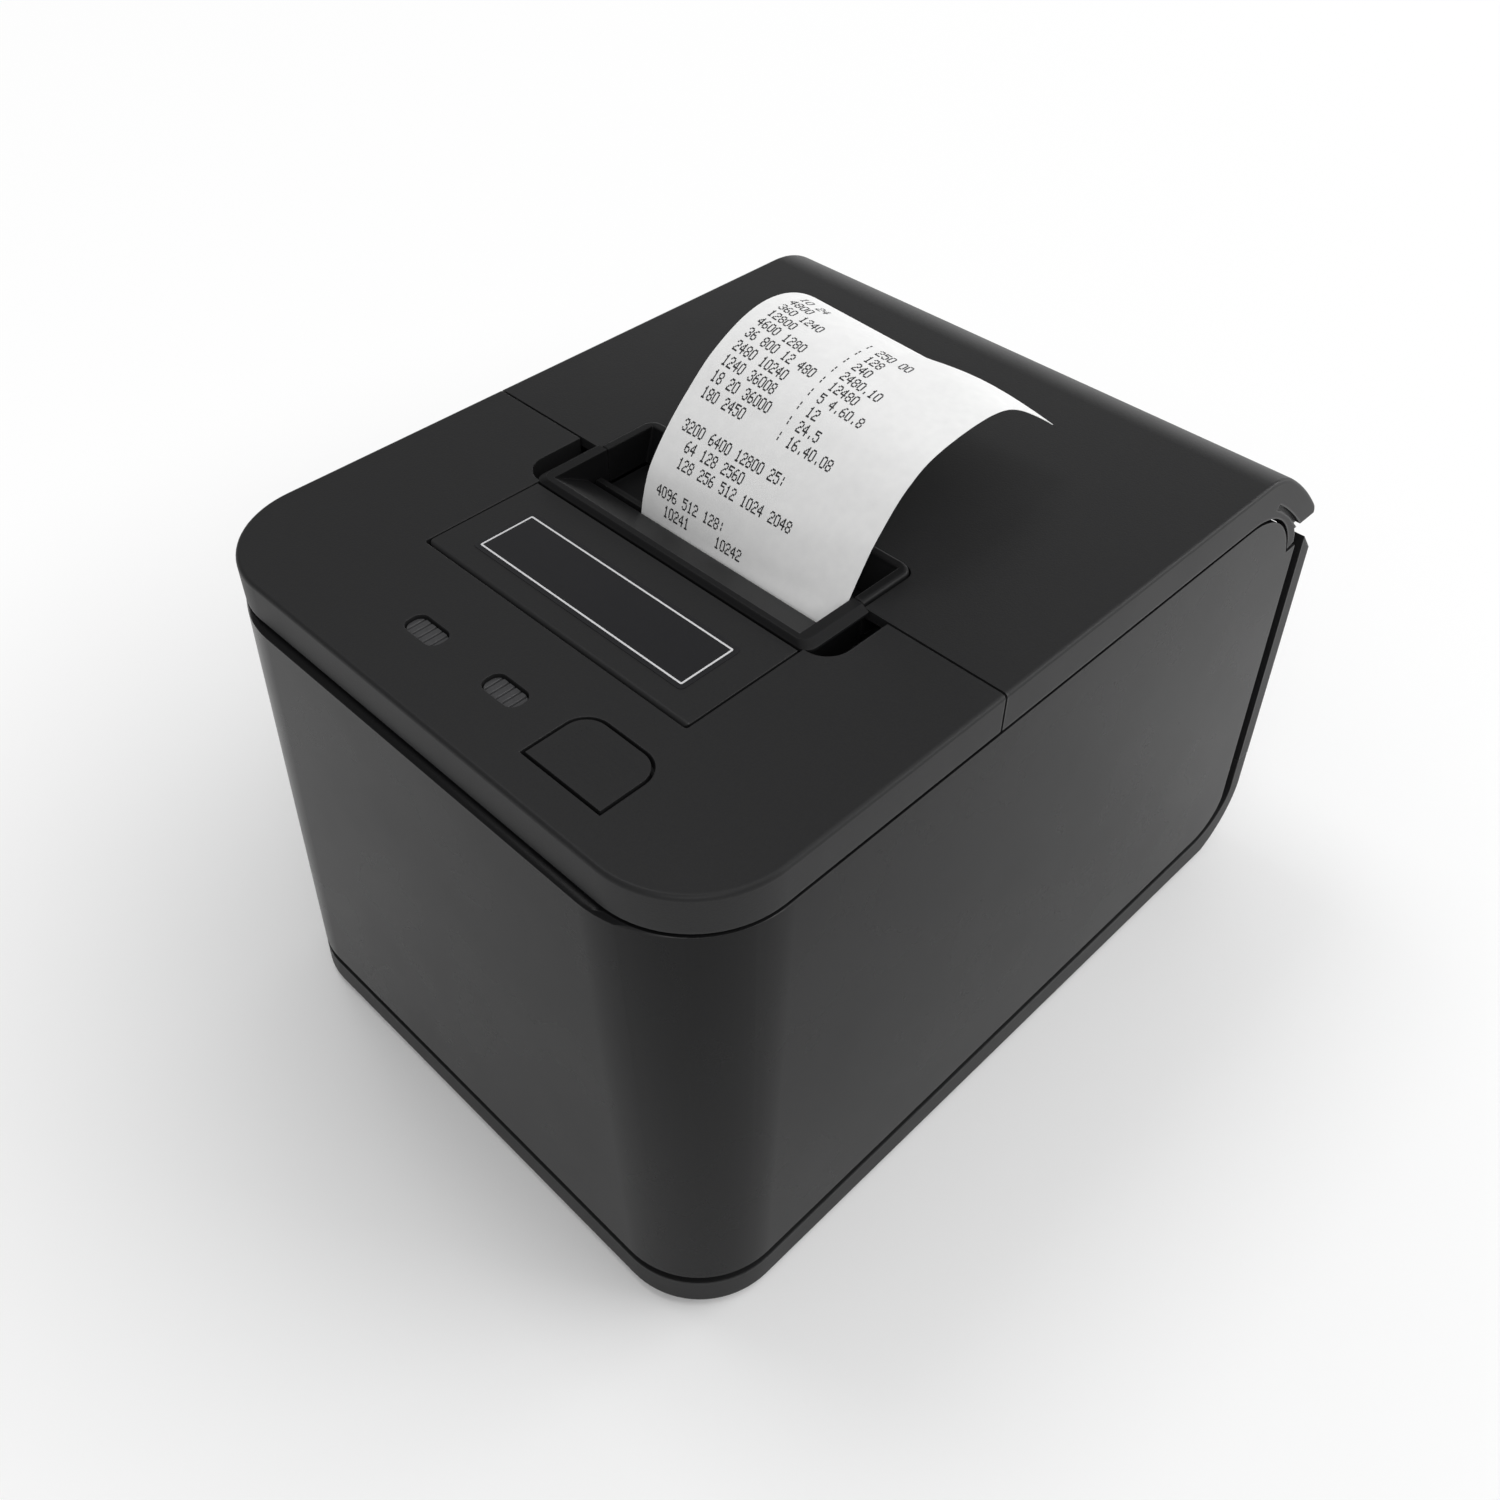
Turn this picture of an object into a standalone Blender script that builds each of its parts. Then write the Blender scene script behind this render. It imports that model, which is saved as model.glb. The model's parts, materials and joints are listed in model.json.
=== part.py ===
"""Desktop receipt printer: casing, hinged paper cover, thermal print mechanism and automatic cutter.

Metres, +Z up, +X to the printer's right, front facing -Y. The origin lies under the middle of the
printer, on the surface that its feet stand on.
"""

import math

import bmesh
import bpy
from mathutils import Matrix

# Fits
FIT = 0.0003                # gap between pieces that seat on each other
RUN = 0.0002                # radial gap of a shaft or pin in its bore

# Casing
TOP_WIDTH = 0.152           # across the flat sides at the seam
DEPTH = 0.2115              # front of the base to the rear face
HEIGHT = 0.136              # surface under the feet to the flat top
CORNER_RADIUS = 0.021       # front corners of the base, seen from above
SEAM_RADIUS = 0.027         # front corners of the body at the ledge
HEEL_RADIUS = 0.021         # rear bottom edge, seen from the side
FLARE = 0.002               # how far each side wall leans out from the seam down to the base
FRONT_FLARE = 0.0014        # the same for the front wall
LEDGE = 0.0016              # body front ahead of the cap front
LEDGE_DROP = 0.0008         # fall of the ledge to the front
REVEAL = 0.0006             # step round the body's upper edge that leaves an open line under the cap
WALL = 0.0025
CAP_HEIGHT = 0.0098         # seam to flat top
CAP_RADIUS = 0.023          # front corners of the cap
CAP_FILLET = 0.0011
PANEL_LENGTH = 0.0825       # cap front to the seam of the paper cover
SHELF = 0.006               # shelf inside the body wall that the front panel sits on
SHELF_THICK = 0.0025

# Base and rear panel
FLOOR = 0.003
EDGE = 0.0015               # rounding under the base
RIM_HEIGHT = 0.0085         # plain rim of the base, up to the groove
GROOVE = 0.0025             # groove between base and body
REAR_RIM = 0.0045           # the same rim and groove where they run up the rear edge
REAR_GROOVE = 0.0045
LIP = 0.0016                # thickness of the inner lip that closes the groove
LIP_RISE = 0.006            # lip above the groove
LIP_REACH = 0.016           # lip ahead of the rear face
REAR_WALL = 0.003
HEEL_TOP = 0.032            # base to rear panel split
PANEL_TOP = 0.1085          # top of the rear panel
PANEL_SLOPE = 0.0055        # fall of the rear panel's top edge to the rear
FOOT_DROP = 0.001
FOOT_RADIUS = 0.007
FOOT_SEAT = 0.0018          # depth of a foot's recess
FOOT_SIDE = 0.023           # foot centre in from the flat sides
FOOT_INSET = 0.022          # foot centre from the front
FOOT_REAR_INSET = 0.034     # foot centre from the rear face

# Screws from below into the body
SCREW_RADIUS = 0.0014
SCREW_HEAD_RADIUS = 0.0028
SCREW_HEAD = 0.0014
SCREW_LENGTH = 0.016
BOSS_RADIUS = 0.0042
BOSS_TOP = 0.034
BOSS_INSET = 0.010          # boss centres in from the flat sides
BOSS_RIB = 0.003            # rib that ties a boss to the wall
BOSS_FRONT = 0.0485         # boss centres behind the cap front
BOSS_REAR = 0.1525

# Paper cover and its hinge
ROLL_START = 0.032          # where the flat top begins to roll down, ahead of the rear face
ROLL_RADIUS = 0.022
ROLL_ANGLE = 36             # degrees turned at the first radius
TAIL_RADIUS = 0.100
TAIL_ANGLE = 48.5           # degrees turned at the hinge barrel
BARREL = 0.0045             # hinge barrel radius at the tail
KNUCKLE = 0.020             # length of barrel left at each hinge ear
SHOULDER_RADIUS = 0.023     # rounded upper rear corner of the body side
SHOULDER_BACK = 0.0351      # its centre ahead of the rear face
SLIT = 0.001                # slit between the tail and the cover's rim along the shoulder
SLIT_DEPTH = 0.0063         # slit below the outer face of the tail
SLIT_ANGLE = 32             # degrees of the roll where the slit begins
HINGE_PIN_RADIUS = 0.0015
EAR_INSET = 0.026           # hinge ears on the rear panel, in from the flat sides
EAR_WIDTH = 0.006
EAR_RADIUS = 0.0036
PIN_REACH = 0.004           # pin past the ear on each side

# Slot, flap and finger recesses in the top
SLOT_WIDTH = 0.080
SLOT_BACK = 0.099           # rear end of the slot behind the cap front
SLOT_RIM = 0.0025           # thickness of the raised side rims
RIM_RISE = 0.0012           # rims above the flat top
LIP_BAR = 0.0023            # flat on top of the front lip
LIP_FALL = 0.0042           # tear edge below the flat top
FLAP_FRONT = 0.0337
FLAP_LENGTH = 0.0305
FLAP_THICK = 0.0024
FLAP_PIN_RADIUS = 0.0006
FLAP_PIN_REACH = 0.002
FINGER_WIDTH = 0.0065
FINGER_LENGTH = 0.0175
FINGER_RADIUS = 0.006

# Indicators and feed button
LIGHT_X = -0.0163
LIGHT_PITCH = 0.0246
LIGHT_Y = 0.0168            # behind the cap front
LIGHT_WIDTH = 0.0104
LIGHT_LENGTH = 0.0054
LIGHT_RADIUS = 0.0022
LIGHT_SINK = 0.0008         # lens below the flat top
LENS_THICK = 0.0022
BUTTON_X = 0.034
BUTTON_FRONT = 0.0091
BUTTON_WIDTH = 0.0205
BUTTON_LENGTH = 0.0148
BUTTON_RADIUS = 0.005
BUTTON_TRAVEL = 0.0008
BUTTON_FLANGE = 0.001
BUTTON_FLANGE_THICK = 0.0015
BOARD_THICK = 0.0016
BOARD_DROP = 0.012          # button board below the flat top
BOARD_MARGIN = 0.0065
SWITCH_SIZE = 0.006
SWITCH_HEIGHT = 0.004
PLUNGER_RADIUS = 0.0017
POST_RADIUS = 0.0025

# Paper
PAPER_WIDTH = 0.0575
PAPER_SHIFT = 0.0081        # strip centre to the right of the middle
PAPER_THICK = 0.0004
PAPER_LINE = 0.0759         # paper path behind the cap front
NIP_DEPTH = 0.025           # platen axis below the flat top
CURL_LEAN = 75              # degrees of the strip above level where it leaves the slot
STRIP_LOW = 0.0066          # torn lower end of the receipt below the flat top
STRIP_RISE = 0.0016         # straight run of the receipt before it curls
STRIP_STEPS = 5             # stations across the receipt
# The curled receipt's two edges, behind and above the straight run; the left edge arches higher
STRIP_LEFT = (
    (0.0016, 0.0046), (0.0042, 0.0103), (0.0076, 0.0159), (0.0120, 0.0215),
    (0.0165, 0.0261), (0.0212, 0.0300), (0.0260, 0.0329), (0.0308, 0.0351),
    (0.0355, 0.0364), (0.0402, 0.0367), (0.0450, 0.0360), (0.0498, 0.0342),
    (0.0545, 0.0313), (0.0590, 0.0275), (0.0632, 0.0233), (0.0668, 0.0189),
)
STRIP_RIGHT = (
    (0.0024, 0.0033), (0.0060, 0.0082), (0.0100, 0.0133), (0.0140, 0.0184),
    (0.0176, 0.0227), (0.0212, 0.0258), (0.0252, 0.0279), (0.0296, 0.0291),
    (0.0350, 0.0299), (0.0410, 0.0303), (0.0465, 0.0301), (0.0515, 0.0290),
    (0.0562, 0.0267), (0.0610, 0.0235), (0.0654, 0.0203), (0.0695, 0.0171),
)
CORE_RADIUS = 0.009
CORE_BORE = 0.0063
ROLL_CLEAR = 0.004          # paper roll clear of the bucket's round bottom
BUCKET_AHEAD = 0.001        # bucket behind the mechanism's side plates
BUCKET_BEHIND = 0.0121      # bucket ahead of the control board
BUCKET_WALL = 0.002
BUCKET_LEG = 0.004
BUCKET_TOP = 0.106          # rear wall
BUCKET_FRONT_TOP = 0.084
BUCKET_SIDE = 0.0008        # bucket wall or guide clear of the roll
BUCKET_LEFT = 0.0405        # inner left wall from the middle
GUIDE_THICK = 0.0016
GUIDE_DROP = 0.008          # guide below the bucket's edge

# Print and feed mechanism
FRAME_X = 0.0475            # middle of each side plate
FRAME_THICK = 0.0015
FRAME_FRONT = 0.0405        # plate ends behind the cap front
FRAME_REAR = 0.0945
FRAME_FOOT = 0.010
BEAM_AHEAD = 0.011          # cross beam ahead of the paper path
BEAM_LOW = 0.088
BEAM_HIGH = 0.118
PLATEN_RADIUS = 0.0065
PLATEN_SHAFT = 0.0025
PLATEN_END = 0.037          # rubber ends from the middle
BUSH_RADIUS = 0.0042
BUSH_LENGTH = 0.005
HOLDER_THICK = 0.0015
HOLDER_REACH = 0.1075       # blade holder's rear end behind the cap front
HOLDER_SCREW_X = 0.030
HOLDER_LIP = 0.005          # top of the holder's upturned front below the flat top
HEAD_STRIP = 0.0008
HEAD_HEIGHT = 0.014
SINK_THICK = 0.0027
SINK_HALF = 0.038
SINK_LOW = 0.097
SINK_HIGH = 0.1185
PIVOT_RADIUS = 0.0015
PIVOT_BARREL = 0.003
SPRING_THICK = 0.0005
SPRING_WIDTH = 0.030
SPRING_RISE = 0.002         # where the leaf presses, above the head's barrel
SPRING_FIX = 0.006          # leaf's straight end on the beam
GEAR_MODULE = 0.001
# One tooth: places across in shares of the pitch, heights in modules
TOOTH = ((-0.29, -1.0), (-0.09, 0.8), (0.09, 0.8), (0.29, -1.0))
GEAR_WIDTH = 0.0045
GEAR_GAP = 0.0022           # gears outside the left plate
PLATEN_TEETH = 18
IDLER_TEETH = 36
PINION_TEETH = 10
DRIVE_ANGLE = 210           # degrees from the idler axis to the motor axis
IDLER_PIN = 0.002
MOTOR_RADIUS = 0.013
MOTOR_LENGTH = 0.022
MOTOR_SHAFT = 0.0015

# Cutter
BLADE_DEPTH = 0.0127        # underside of the moving blade below the flat top
BLADE_THICK = 0.0012
BLADE_HALF = 0.041
BLADE_LENGTH = 0.028
BLADE_HOLLOW = 0.003        # middle of the cutting edge behind its ends
BLADE_BACK = 0.0025         # edge ends ahead of the paper at rest
FIXED_LENGTH = 0.016
BED_FRONT = 0.0385
BED_THICK = 0.003
RAIL = 0.0037
RAIL_RISE = 0.0022          # rail above the blade
RACK_X = 0.014
RACK_TEETH = 5
CUTTER_TEETH = 12
CUTTER_LINE = 0.0525        # cutter gear axis behind the cap front
CUTTER_SHAFT = 0.002
KNOB_RADIUS = 0.007
KNOB_THICK = 0.003
CUTTER_MOTOR_RADIUS = 0.009
CUTTER_MOTOR_LENGTH = 0.025

# Electronics on the rear panel
CONTROL_HALF = 0.055
CONTROL_LOW = 0.038
CONTROL_HIGH = 0.098
STANDOFF = 0.008
STANDOFF_RADIUS = 0.003
SOCKET_Z = 0.058            # height of the socket row
SOCKET_WALL = 0.0012
SOCKET_SINK = 0.0008        # socket face behind the rear face
POWER_X = -0.034
POWER_SIZE = 0.011
POWER_BORE = 0.0042
DATA_X = -0.008
DATA_WIDTH = 0.0124
DATA_HEIGHT = 0.0112
DRAWER_X = 0.018
DRAWER_WIDTH = 0.0134
DRAWER_HEIGHT = 0.0118
SWITCH_X = 0.046
SWITCH_WIDTH = 0.013
SWITCH_RISE = 0.0195
SWITCH_DEPTH = 0.0145
SWITCH_FLANGE = 0.0015
ROCKER_PIN = 0.001
ROCKER_THICK = 0.006
ROCKER_SWING = 0.0012       # how far the rocker's ends swing out

# Fineness of round shapes
CORNER_STEPS = 6
FILLET_STEPS = 3
ARC_STEPS = 8
ROUND_SIDES = 20
BORE_SIDES = 14
FAR = 0.05                  # how far a cutting shape runs past what it cuts

# Looks: colour, roughness, metallic
BLACK_MATT = ((0.026, 0.026, 0.028), 0.55, 0.0)
BLACK_SATIN = ((0.040, 0.040, 0.043), 0.38, 0.0)
BLACK_GLOSS = ((0.012, 0.012, 0.013), 0.22, 0.0)
GREY_PLASTIC = ((0.16, 0.16, 0.17), 0.5, 0.0)
WHITE_PLASTIC = ((0.75, 0.75, 0.72), 0.45, 0.0)
SMOKED = ((0.10, 0.10, 0.105), 0.25, 0.0)
PAPER = ((0.86, 0.86, 0.85), 0.75, 0.0)
CARD = ((0.46, 0.38, 0.28), 0.8, 0.0)
STEEL = ((0.55, 0.55, 0.56), 0.32, 1.0)
ALUMINIUM = ((0.72, 0.72, 0.73), 0.4, 1.0)
RUBBER = ((0.018, 0.018, 0.018), 0.85, 0.0)
BOARD_GREEN = ((0.02, 0.12, 0.05), 0.5, 0.0)

# Worked-out places
FRONT = -DEPTH / 2
REAR = DEPTH / 2
TOP = HEIGHT
SEAM_Z = HEIGHT - CAP_HEIGHT
CAP_FRONT = FRONT + FRONT_FLARE + LEDGE
COVER_SEAM = CAP_FRONT + PANEL_LENGTH
FLOOR_TOP = FOOT_DROP + FLOOR
RIM_TOP = FOOT_DROP + RIM_HEIGHT
BODY_LOW = RIM_TOP + GROOVE
LIP_INSET = WALL + FIT
PANEL_UNDER = TOP - WALL
SLOT_HALF = SLOT_WIDTH / 2
PAPER_Y = CAP_FRONT + PAPER_LINE
PAPER_LEFT = PAPER_SHIFT - PAPER_WIDTH / 2
PAPER_RIGHT = PAPER_SHIFT + PAPER_WIDTH / 2
NIP_Z = TOP - NIP_DEPTH
PLATEN_Y = PAPER_Y + PAPER_THICK / 2 + FIT + PLATEN_RADIUS
HEAD_FACE = PAPER_Y - PAPER_THICK / 2 - FIT
SINK_REAR = HEAD_FACE - HEAD_STRIP - FIT
SINK_FRONT = SINK_REAR - SINK_THICK
PIVOT_Y = SINK_REAR - PIVOT_BARREL
PIVOT_Z = SINK_LOW + PIVOT_BARREL
BLADE_Z = TOP - BLADE_DEPTH
FIXED_Z = BLADE_Z + BLADE_THICK + FIT
FIXED_HALF = SLOT_HALF - SLOT_RIM - 2 * FIT
HOLDER_Z = FIXED_Z + BLADE_THICK + FIT
HOLDER_TOP = HOLDER_Z + HOLDER_THICK
STRIP_TILT = math.tan(math.radians(90 - CURL_LEAN))
TEAR_Y = PAPER_Y + (TOP - STRIP_LOW - FIXED_Z) * STRIP_TILT - PAPER_THICK / 2 - 2 * FIT
BED_TOP = BLADE_Z - FIT
FRAME_TOP = BED_TOP - BED_THICK - FIT
RAIL_TOP = BLADE_Z + BLADE_THICK + RAIL_RISE
CONTROL_Y = REAR - REAR_WALL - STANDOFF - FIT
BUCKET_FRONT = CAP_FRONT + FRAME_REAR + BUCKET_AHEAD
BUCKET_REAR = CONTROL_Y - BOARD_THICK - BUCKET_BEHIND
BUCKET_RADIUS = (BUCKET_REAR - BUCKET_FRONT) / 2 - BUCKET_WALL
ROLL_SIZE = BUCKET_RADIUS - ROLL_CLEAR
ROLL_Y = (BUCKET_FRONT + BUCKET_REAR) / 2
BUCKET_LOW = FLOOR_TOP + FIT + BUCKET_LEG
ROLL_Z = BUCKET_LOW + BUCKET_WALL + FIT + ROLL_SIZE
BUCKET_Z = BUCKET_LOW + BUCKET_WALL + BUCKET_RADIUS
GEAR_X = -FRAME_X - FRAME_THICK / 2 - GEAR_GAP
FLAP_Y = CAP_FRONT + FLAP_FRONT + FIT + FLAP_THICK / 2
FLAP_Z = TOP - FLAP_THICK / 2
FLAP_REAR = CAP_FRONT + FLAP_FRONT + FLAP_LENGTH
BUTTON_Y = CAP_FRONT + BUTTON_FRONT + BUTTON_LENGTH / 2
CUTTER_Y = CAP_FRONT + CUTTER_LINE
CUTTER_X = RACK_X + GEAR_MODULE * CUTTER_TEETH / 2


def polar(centre, radius, degrees):
    """The point at an angle on a circle, or on an ellipse if the radius is a pair."""
    across, up = radius if isinstance(radius, tuple) else (radius, radius)
    turn = math.radians(degrees)
    return centre[0] + across * math.cos(turn), centre[1] + up * math.sin(turn)


def arc(centre, radius, start, end, steps=ARC_STEPS):
    """Points along an arc, both ends included, in degrees."""
    return [polar(centre, radius, start + (end - start) * i / steps) for i in range(steps + 1)]


def circle(centre, radius, sides=ROUND_SIDES):
    return [polar(centre, radius, 360 * i / sides) for i in range(sides)]


# Roll-over of the cover: two arcs that run on from each other, given as centres and the hinge at the tail
ROLL_CENTRE = (REAR - ROLL_START, TOP - ROLL_RADIUS)
TAIL_CENTRE = polar(ROLL_CENTRE, ROLL_RADIUS - TAIL_RADIUS, 90 - ROLL_ANGLE)
HINGE_Y, HINGE_Z = polar(TAIL_CENTRE, TAIL_RADIUS - BARREL, 90 - TAIL_ANGLE)
SHOULDER = (REAR - SHOULDER_BACK, SEAM_Z - SHOULDER_RADIUS)
HEEL_CENTRE = (REAR - HEEL_RADIUS, FOOT_DROP + HEEL_RADIUS)


def roll_over(inset, end=TAIL_ANGLE):
    """Outer line of the cover from the flat top down the roll, moved inwards."""
    first = arc(ROLL_CENTRE, ROLL_RADIUS - inset, 90, 90 - ROLL_ANGLE, ARC_STEPS)
    second = arc(TAIL_CENTRE, TAIL_RADIUS - inset, 90 - ROLL_ANGLE, 90 - end, ARC_STEPS)
    return first + second[1:]


def stand(axis, outline, along):
    """A flat outline set square to an axis at one place along it."""
    place = {
        "X": lambda a, b: (along, a, b),
        "Y": lambda a, b: (a, along, b),
        "Z": lambda a, b: (a, b, along),
    }[axis]
    return [place(a, b) for a, b in outline]


def loft(name, rings):
    """A closed solid through matching rings of points, with flat ends."""
    shape = bmesh.new()
    loops = [[shape.verts.new(point) for point in ring] for ring in rings]
    for lower, upper in zip(loops, loops[1:]):
        for i, corner in enumerate(lower):
            j = (i + 1) % len(lower)
            shape.faces.new((corner, lower[j], upper[j], upper[i]))
    shape.faces.new(reversed(loops[0]))
    shape.faces.new(loops[-1])
    bmesh.ops.recalc_face_normals(shape, faces=shape.faces)
    mesh = bpy.data.meshes.new(name)
    shape.to_mesh(mesh)
    shape.free()
    made = bpy.data.objects.new(name, mesh)
    bpy.context.collection.objects.link(made)
    return made


def prism(name, axis, outline, low, high):
    return loft(name, [stand(axis, outline, low), stand(axis, outline, high)])


def rectangle(a, b):
    return [(a[0], b[0]), (a[1], b[0]), (a[1], b[1]), (a[0], b[1])]


def box(name, x, y, z):
    return prism(name, "Z", rectangle(x, y), *z)


def rod(name, axis, centre, radius, low, high, sides=ROUND_SIDES):
    return prism(name, axis, circle(centre, radius, sides), low, high)


def rounded(centre, size, radius, steps=3):
    """A rectangle with round corners: one radius, or one for each corner from rear right round."""
    half = (size[0] / 2, size[1] / 2)
    radii = radius if isinstance(radius, tuple) else (radius,) * 4
    corners = ((1, 1), (-1, 1), (-1, -1), (1, -1))
    points = []
    for turn, (right, rear), corner in zip((0, 90, 180, 270), corners, radii):
        middle = (centre[0] + right * (half[0] - corner), centre[1] + rear * (half[1] - corner))
        points += arc(middle, corner, turn, turn + 90, steps) if corner else [middle]
    return points


def combine(target, tool, operation):
    """Joins a helper to a piece, or cuts it away, and drops the helper."""
    modifier = target.modifiers.new(operation.lower(), "BOOLEAN")
    modifier.operation = operation
    modifier.solver = "EXACT"
    modifier.object = tool
    graph = bpy.context.evaluated_depsgraph_get()
    mesh = bpy.data.meshes.new_from_object(target.evaluated_get(graph))
    target.modifiers.remove(modifier)
    target.data = mesh
    bpy.data.objects.remove(tool)
    return target


def cut(target, *tools):
    for tool in tools:
        combine(target, tool, "DIFFERENCE")
    return target


def join(target, *tools):
    for tool in tools:
        combine(target, tool, "UNION")
    return target


def finish(piece, look):
    """Gives a piece its own material and smooths its round faces."""
    colour, roughness, metallic = look
    material = bpy.data.materials.new(piece.name)
    material.use_nodes = True
    shader = material.node_tree.nodes["Principled BSDF"]
    shader.inputs["Base Color"].default_value = (*colour, 1.0)
    shader.inputs["Roughness"].default_value = roughness
    shader.inputs["Metallic"].default_value = metallic
    piece.data.materials.clear()
    piece.data.materials.append(material)
    piece.data.shade_smooth()
    piece.data.set_sharp_from_angle(angle=math.radians(32))
    return piece


def hang(name, place, pieces):
    """An empty on a joint's axis that carries the pieces which move with it."""
    empty = bpy.data.objects.new(name, None)
    bpy.context.collection.objects.link(empty)
    empty.empty_display_size = 0.01
    empty.location = place
    for piece in pieces:
        piece.parent = empty
        piece.matrix_parent_inverse = Matrix.Translation(place).inverted()


def plan(half, front, back, radius):
    """Casing outline from above: round front corners and square rear ones."""
    left = arc((-half + radius, front + radius), radius, 180, 270, CORNER_STEPS)
    right = arc((half - radius, front + radius), radius, 270, 360, CORNER_STEPS)
    return [(half, back), (-half, back), *left, *right]


def body_ring(z, inset, back):
    """The leaning body outline at a height, moved inwards."""
    share = (SEAM_Z - z) / (SEAM_Z - FOOT_DROP - EDGE)
    half = TOP_WIDTH / 2 + FLARE * share - inset
    front = CAP_FRONT - LEDGE - FRONT_FLARE * share + inset
    radius = SEAM_RADIUS + (CORNER_RADIUS - SEAM_RADIUS) * share - inset
    return stand("Z", plan(half, front, back, radius), z)


def body_block(name, low, high, inset, back):
    return loft(name, [body_ring(low, inset, back), body_ring(high, inset, back)])


def heel_trim(level, behind):
    """What lies outside the rounded rear bottom edge, for a shape set in from base and rear face."""
    curve = arc(HEEL_CENTRE, (HEEL_RADIUS - behind, HEEL_RADIUS - level), -90, 0)
    outside = [(REAR + FAR, curve[-1][1]), (REAR + FAR, -FAR), (curve[0][0], -FAR)]
    return prism("heel", "X", curve + outside, -TOP_WIDTH, TOP_WIDTH)


def groove_band():
    """The groove's outer band: above the base's rim and ahead of the rear rim, as deep as the lip."""
    curve = arc(HEEL_CENTRE, (HEEL_RADIUS - REAR_RIM, HEEL_RADIUS - RIM_HEIGHT), -90, 0)
    outline = [(FRONT - FAR, RIM_TOP), *curve, (REAR - REAR_RIM, TOP + FAR), (FRONT - FAR, TOP + FAR)]
    band = prism("groove", "X", outline, -TOP_WIDTH, TOP_WIDTH)
    return cut(band, body_block("core", -FAR, TOP + 2 * FAR, LIP_INSET, REAR + FAR))


def foot_places():
    side = TOP_WIDTH / 2 - FOOT_SIDE
    return {
        "foot_front_left": (-side, FRONT + FOOT_INSET),
        "foot_front_right": (side, FRONT + FOOT_INSET),
        "foot_rear_left": (-side, REAR - FOOT_REAR_INSET),
        "foot_rear_right": (side, REAR - FOOT_REAR_INSET),
    }


def boss_places():
    """Screw bosses beside the body's side walls."""
    side = TOP_WIDTH / 2 - BOSS_INSET
    return {
        "base_screw_front_left": (-side, CAP_FRONT + BOSS_FRONT),
        "base_screw_front_right": (side, CAP_FRONT + BOSS_FRONT),
        "base_screw_rear_left": (-side, CAP_FRONT + BOSS_REAR),
        "base_screw_rear_right": (side, CAP_FRONT + BOSS_REAR),
    }


def make_base_tray():
    rings = [body_ring(FOOT_DROP, EDGE, REAR), body_ring(FOOT_DROP + EDGE, 0, REAR)]
    tray = loft("base_tray", rings + [body_ring(HEEL_TOP, 0, REAR)])
    low_lip = BODY_LOW + LIP_RISE
    cut(tray, box("above", (-TOP_WIDTH, TOP_WIDTH), (FRONT - FAR, REAR - LIP_REACH), (low_lip, TOP)))
    cut(tray, heel_trim(0, 0))
    hollow = body_block("hollow", FLOOR_TOP, HEEL_TOP + FAR, LIP_INSET + LIP, REAR - REAR_WALL)
    cut(tray, cut(hollow, heel_trim(FLOOR, REAR_WALL)), groove_band())
    for place in foot_places().values():
        cut(tray, rod("recess", "Z", place, FOOT_RADIUS + FIT, -FAR, FOOT_DROP + FOOT_SEAT + FIT))
    for place in boss_places().values():
        cut(tray, rod("hole", "Z", place, SCREW_RADIUS + RUN, -FAR, FLOOR_TOP + FAR, BORE_SIDES))
        cut(tray, rod("sink", "Z", place, SCREW_HEAD_RADIUS + RUN, -FAR, FOOT_DROP + SCREW_HEAD, BORE_SIDES))
    return finish(tray, BLACK_MATT)


def make_feet():
    for name, place in foot_places().items():
        finish(rod(name, "Z", place, FOOT_RADIUS, 0, FOOT_DROP + FOOT_SEAT), RUBBER)


def make_base_screws():
    for name, place in boss_places().items():
        head_top = FOOT_DROP + SCREW_HEAD - FIT
        screw = rod(name, "Z", place, SCREW_HEAD_RADIUS, FOOT_DROP, head_top, BORE_SIDES)
        shank = (FOOT_DROP + SCREW_HEAD / 2, head_top + SCREW_LENGTH)
        join(screw, rod("shank", "Z", place, SCREW_RADIUS, *shank, BORE_SIDES))
        finish(screw, STEEL)


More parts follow.
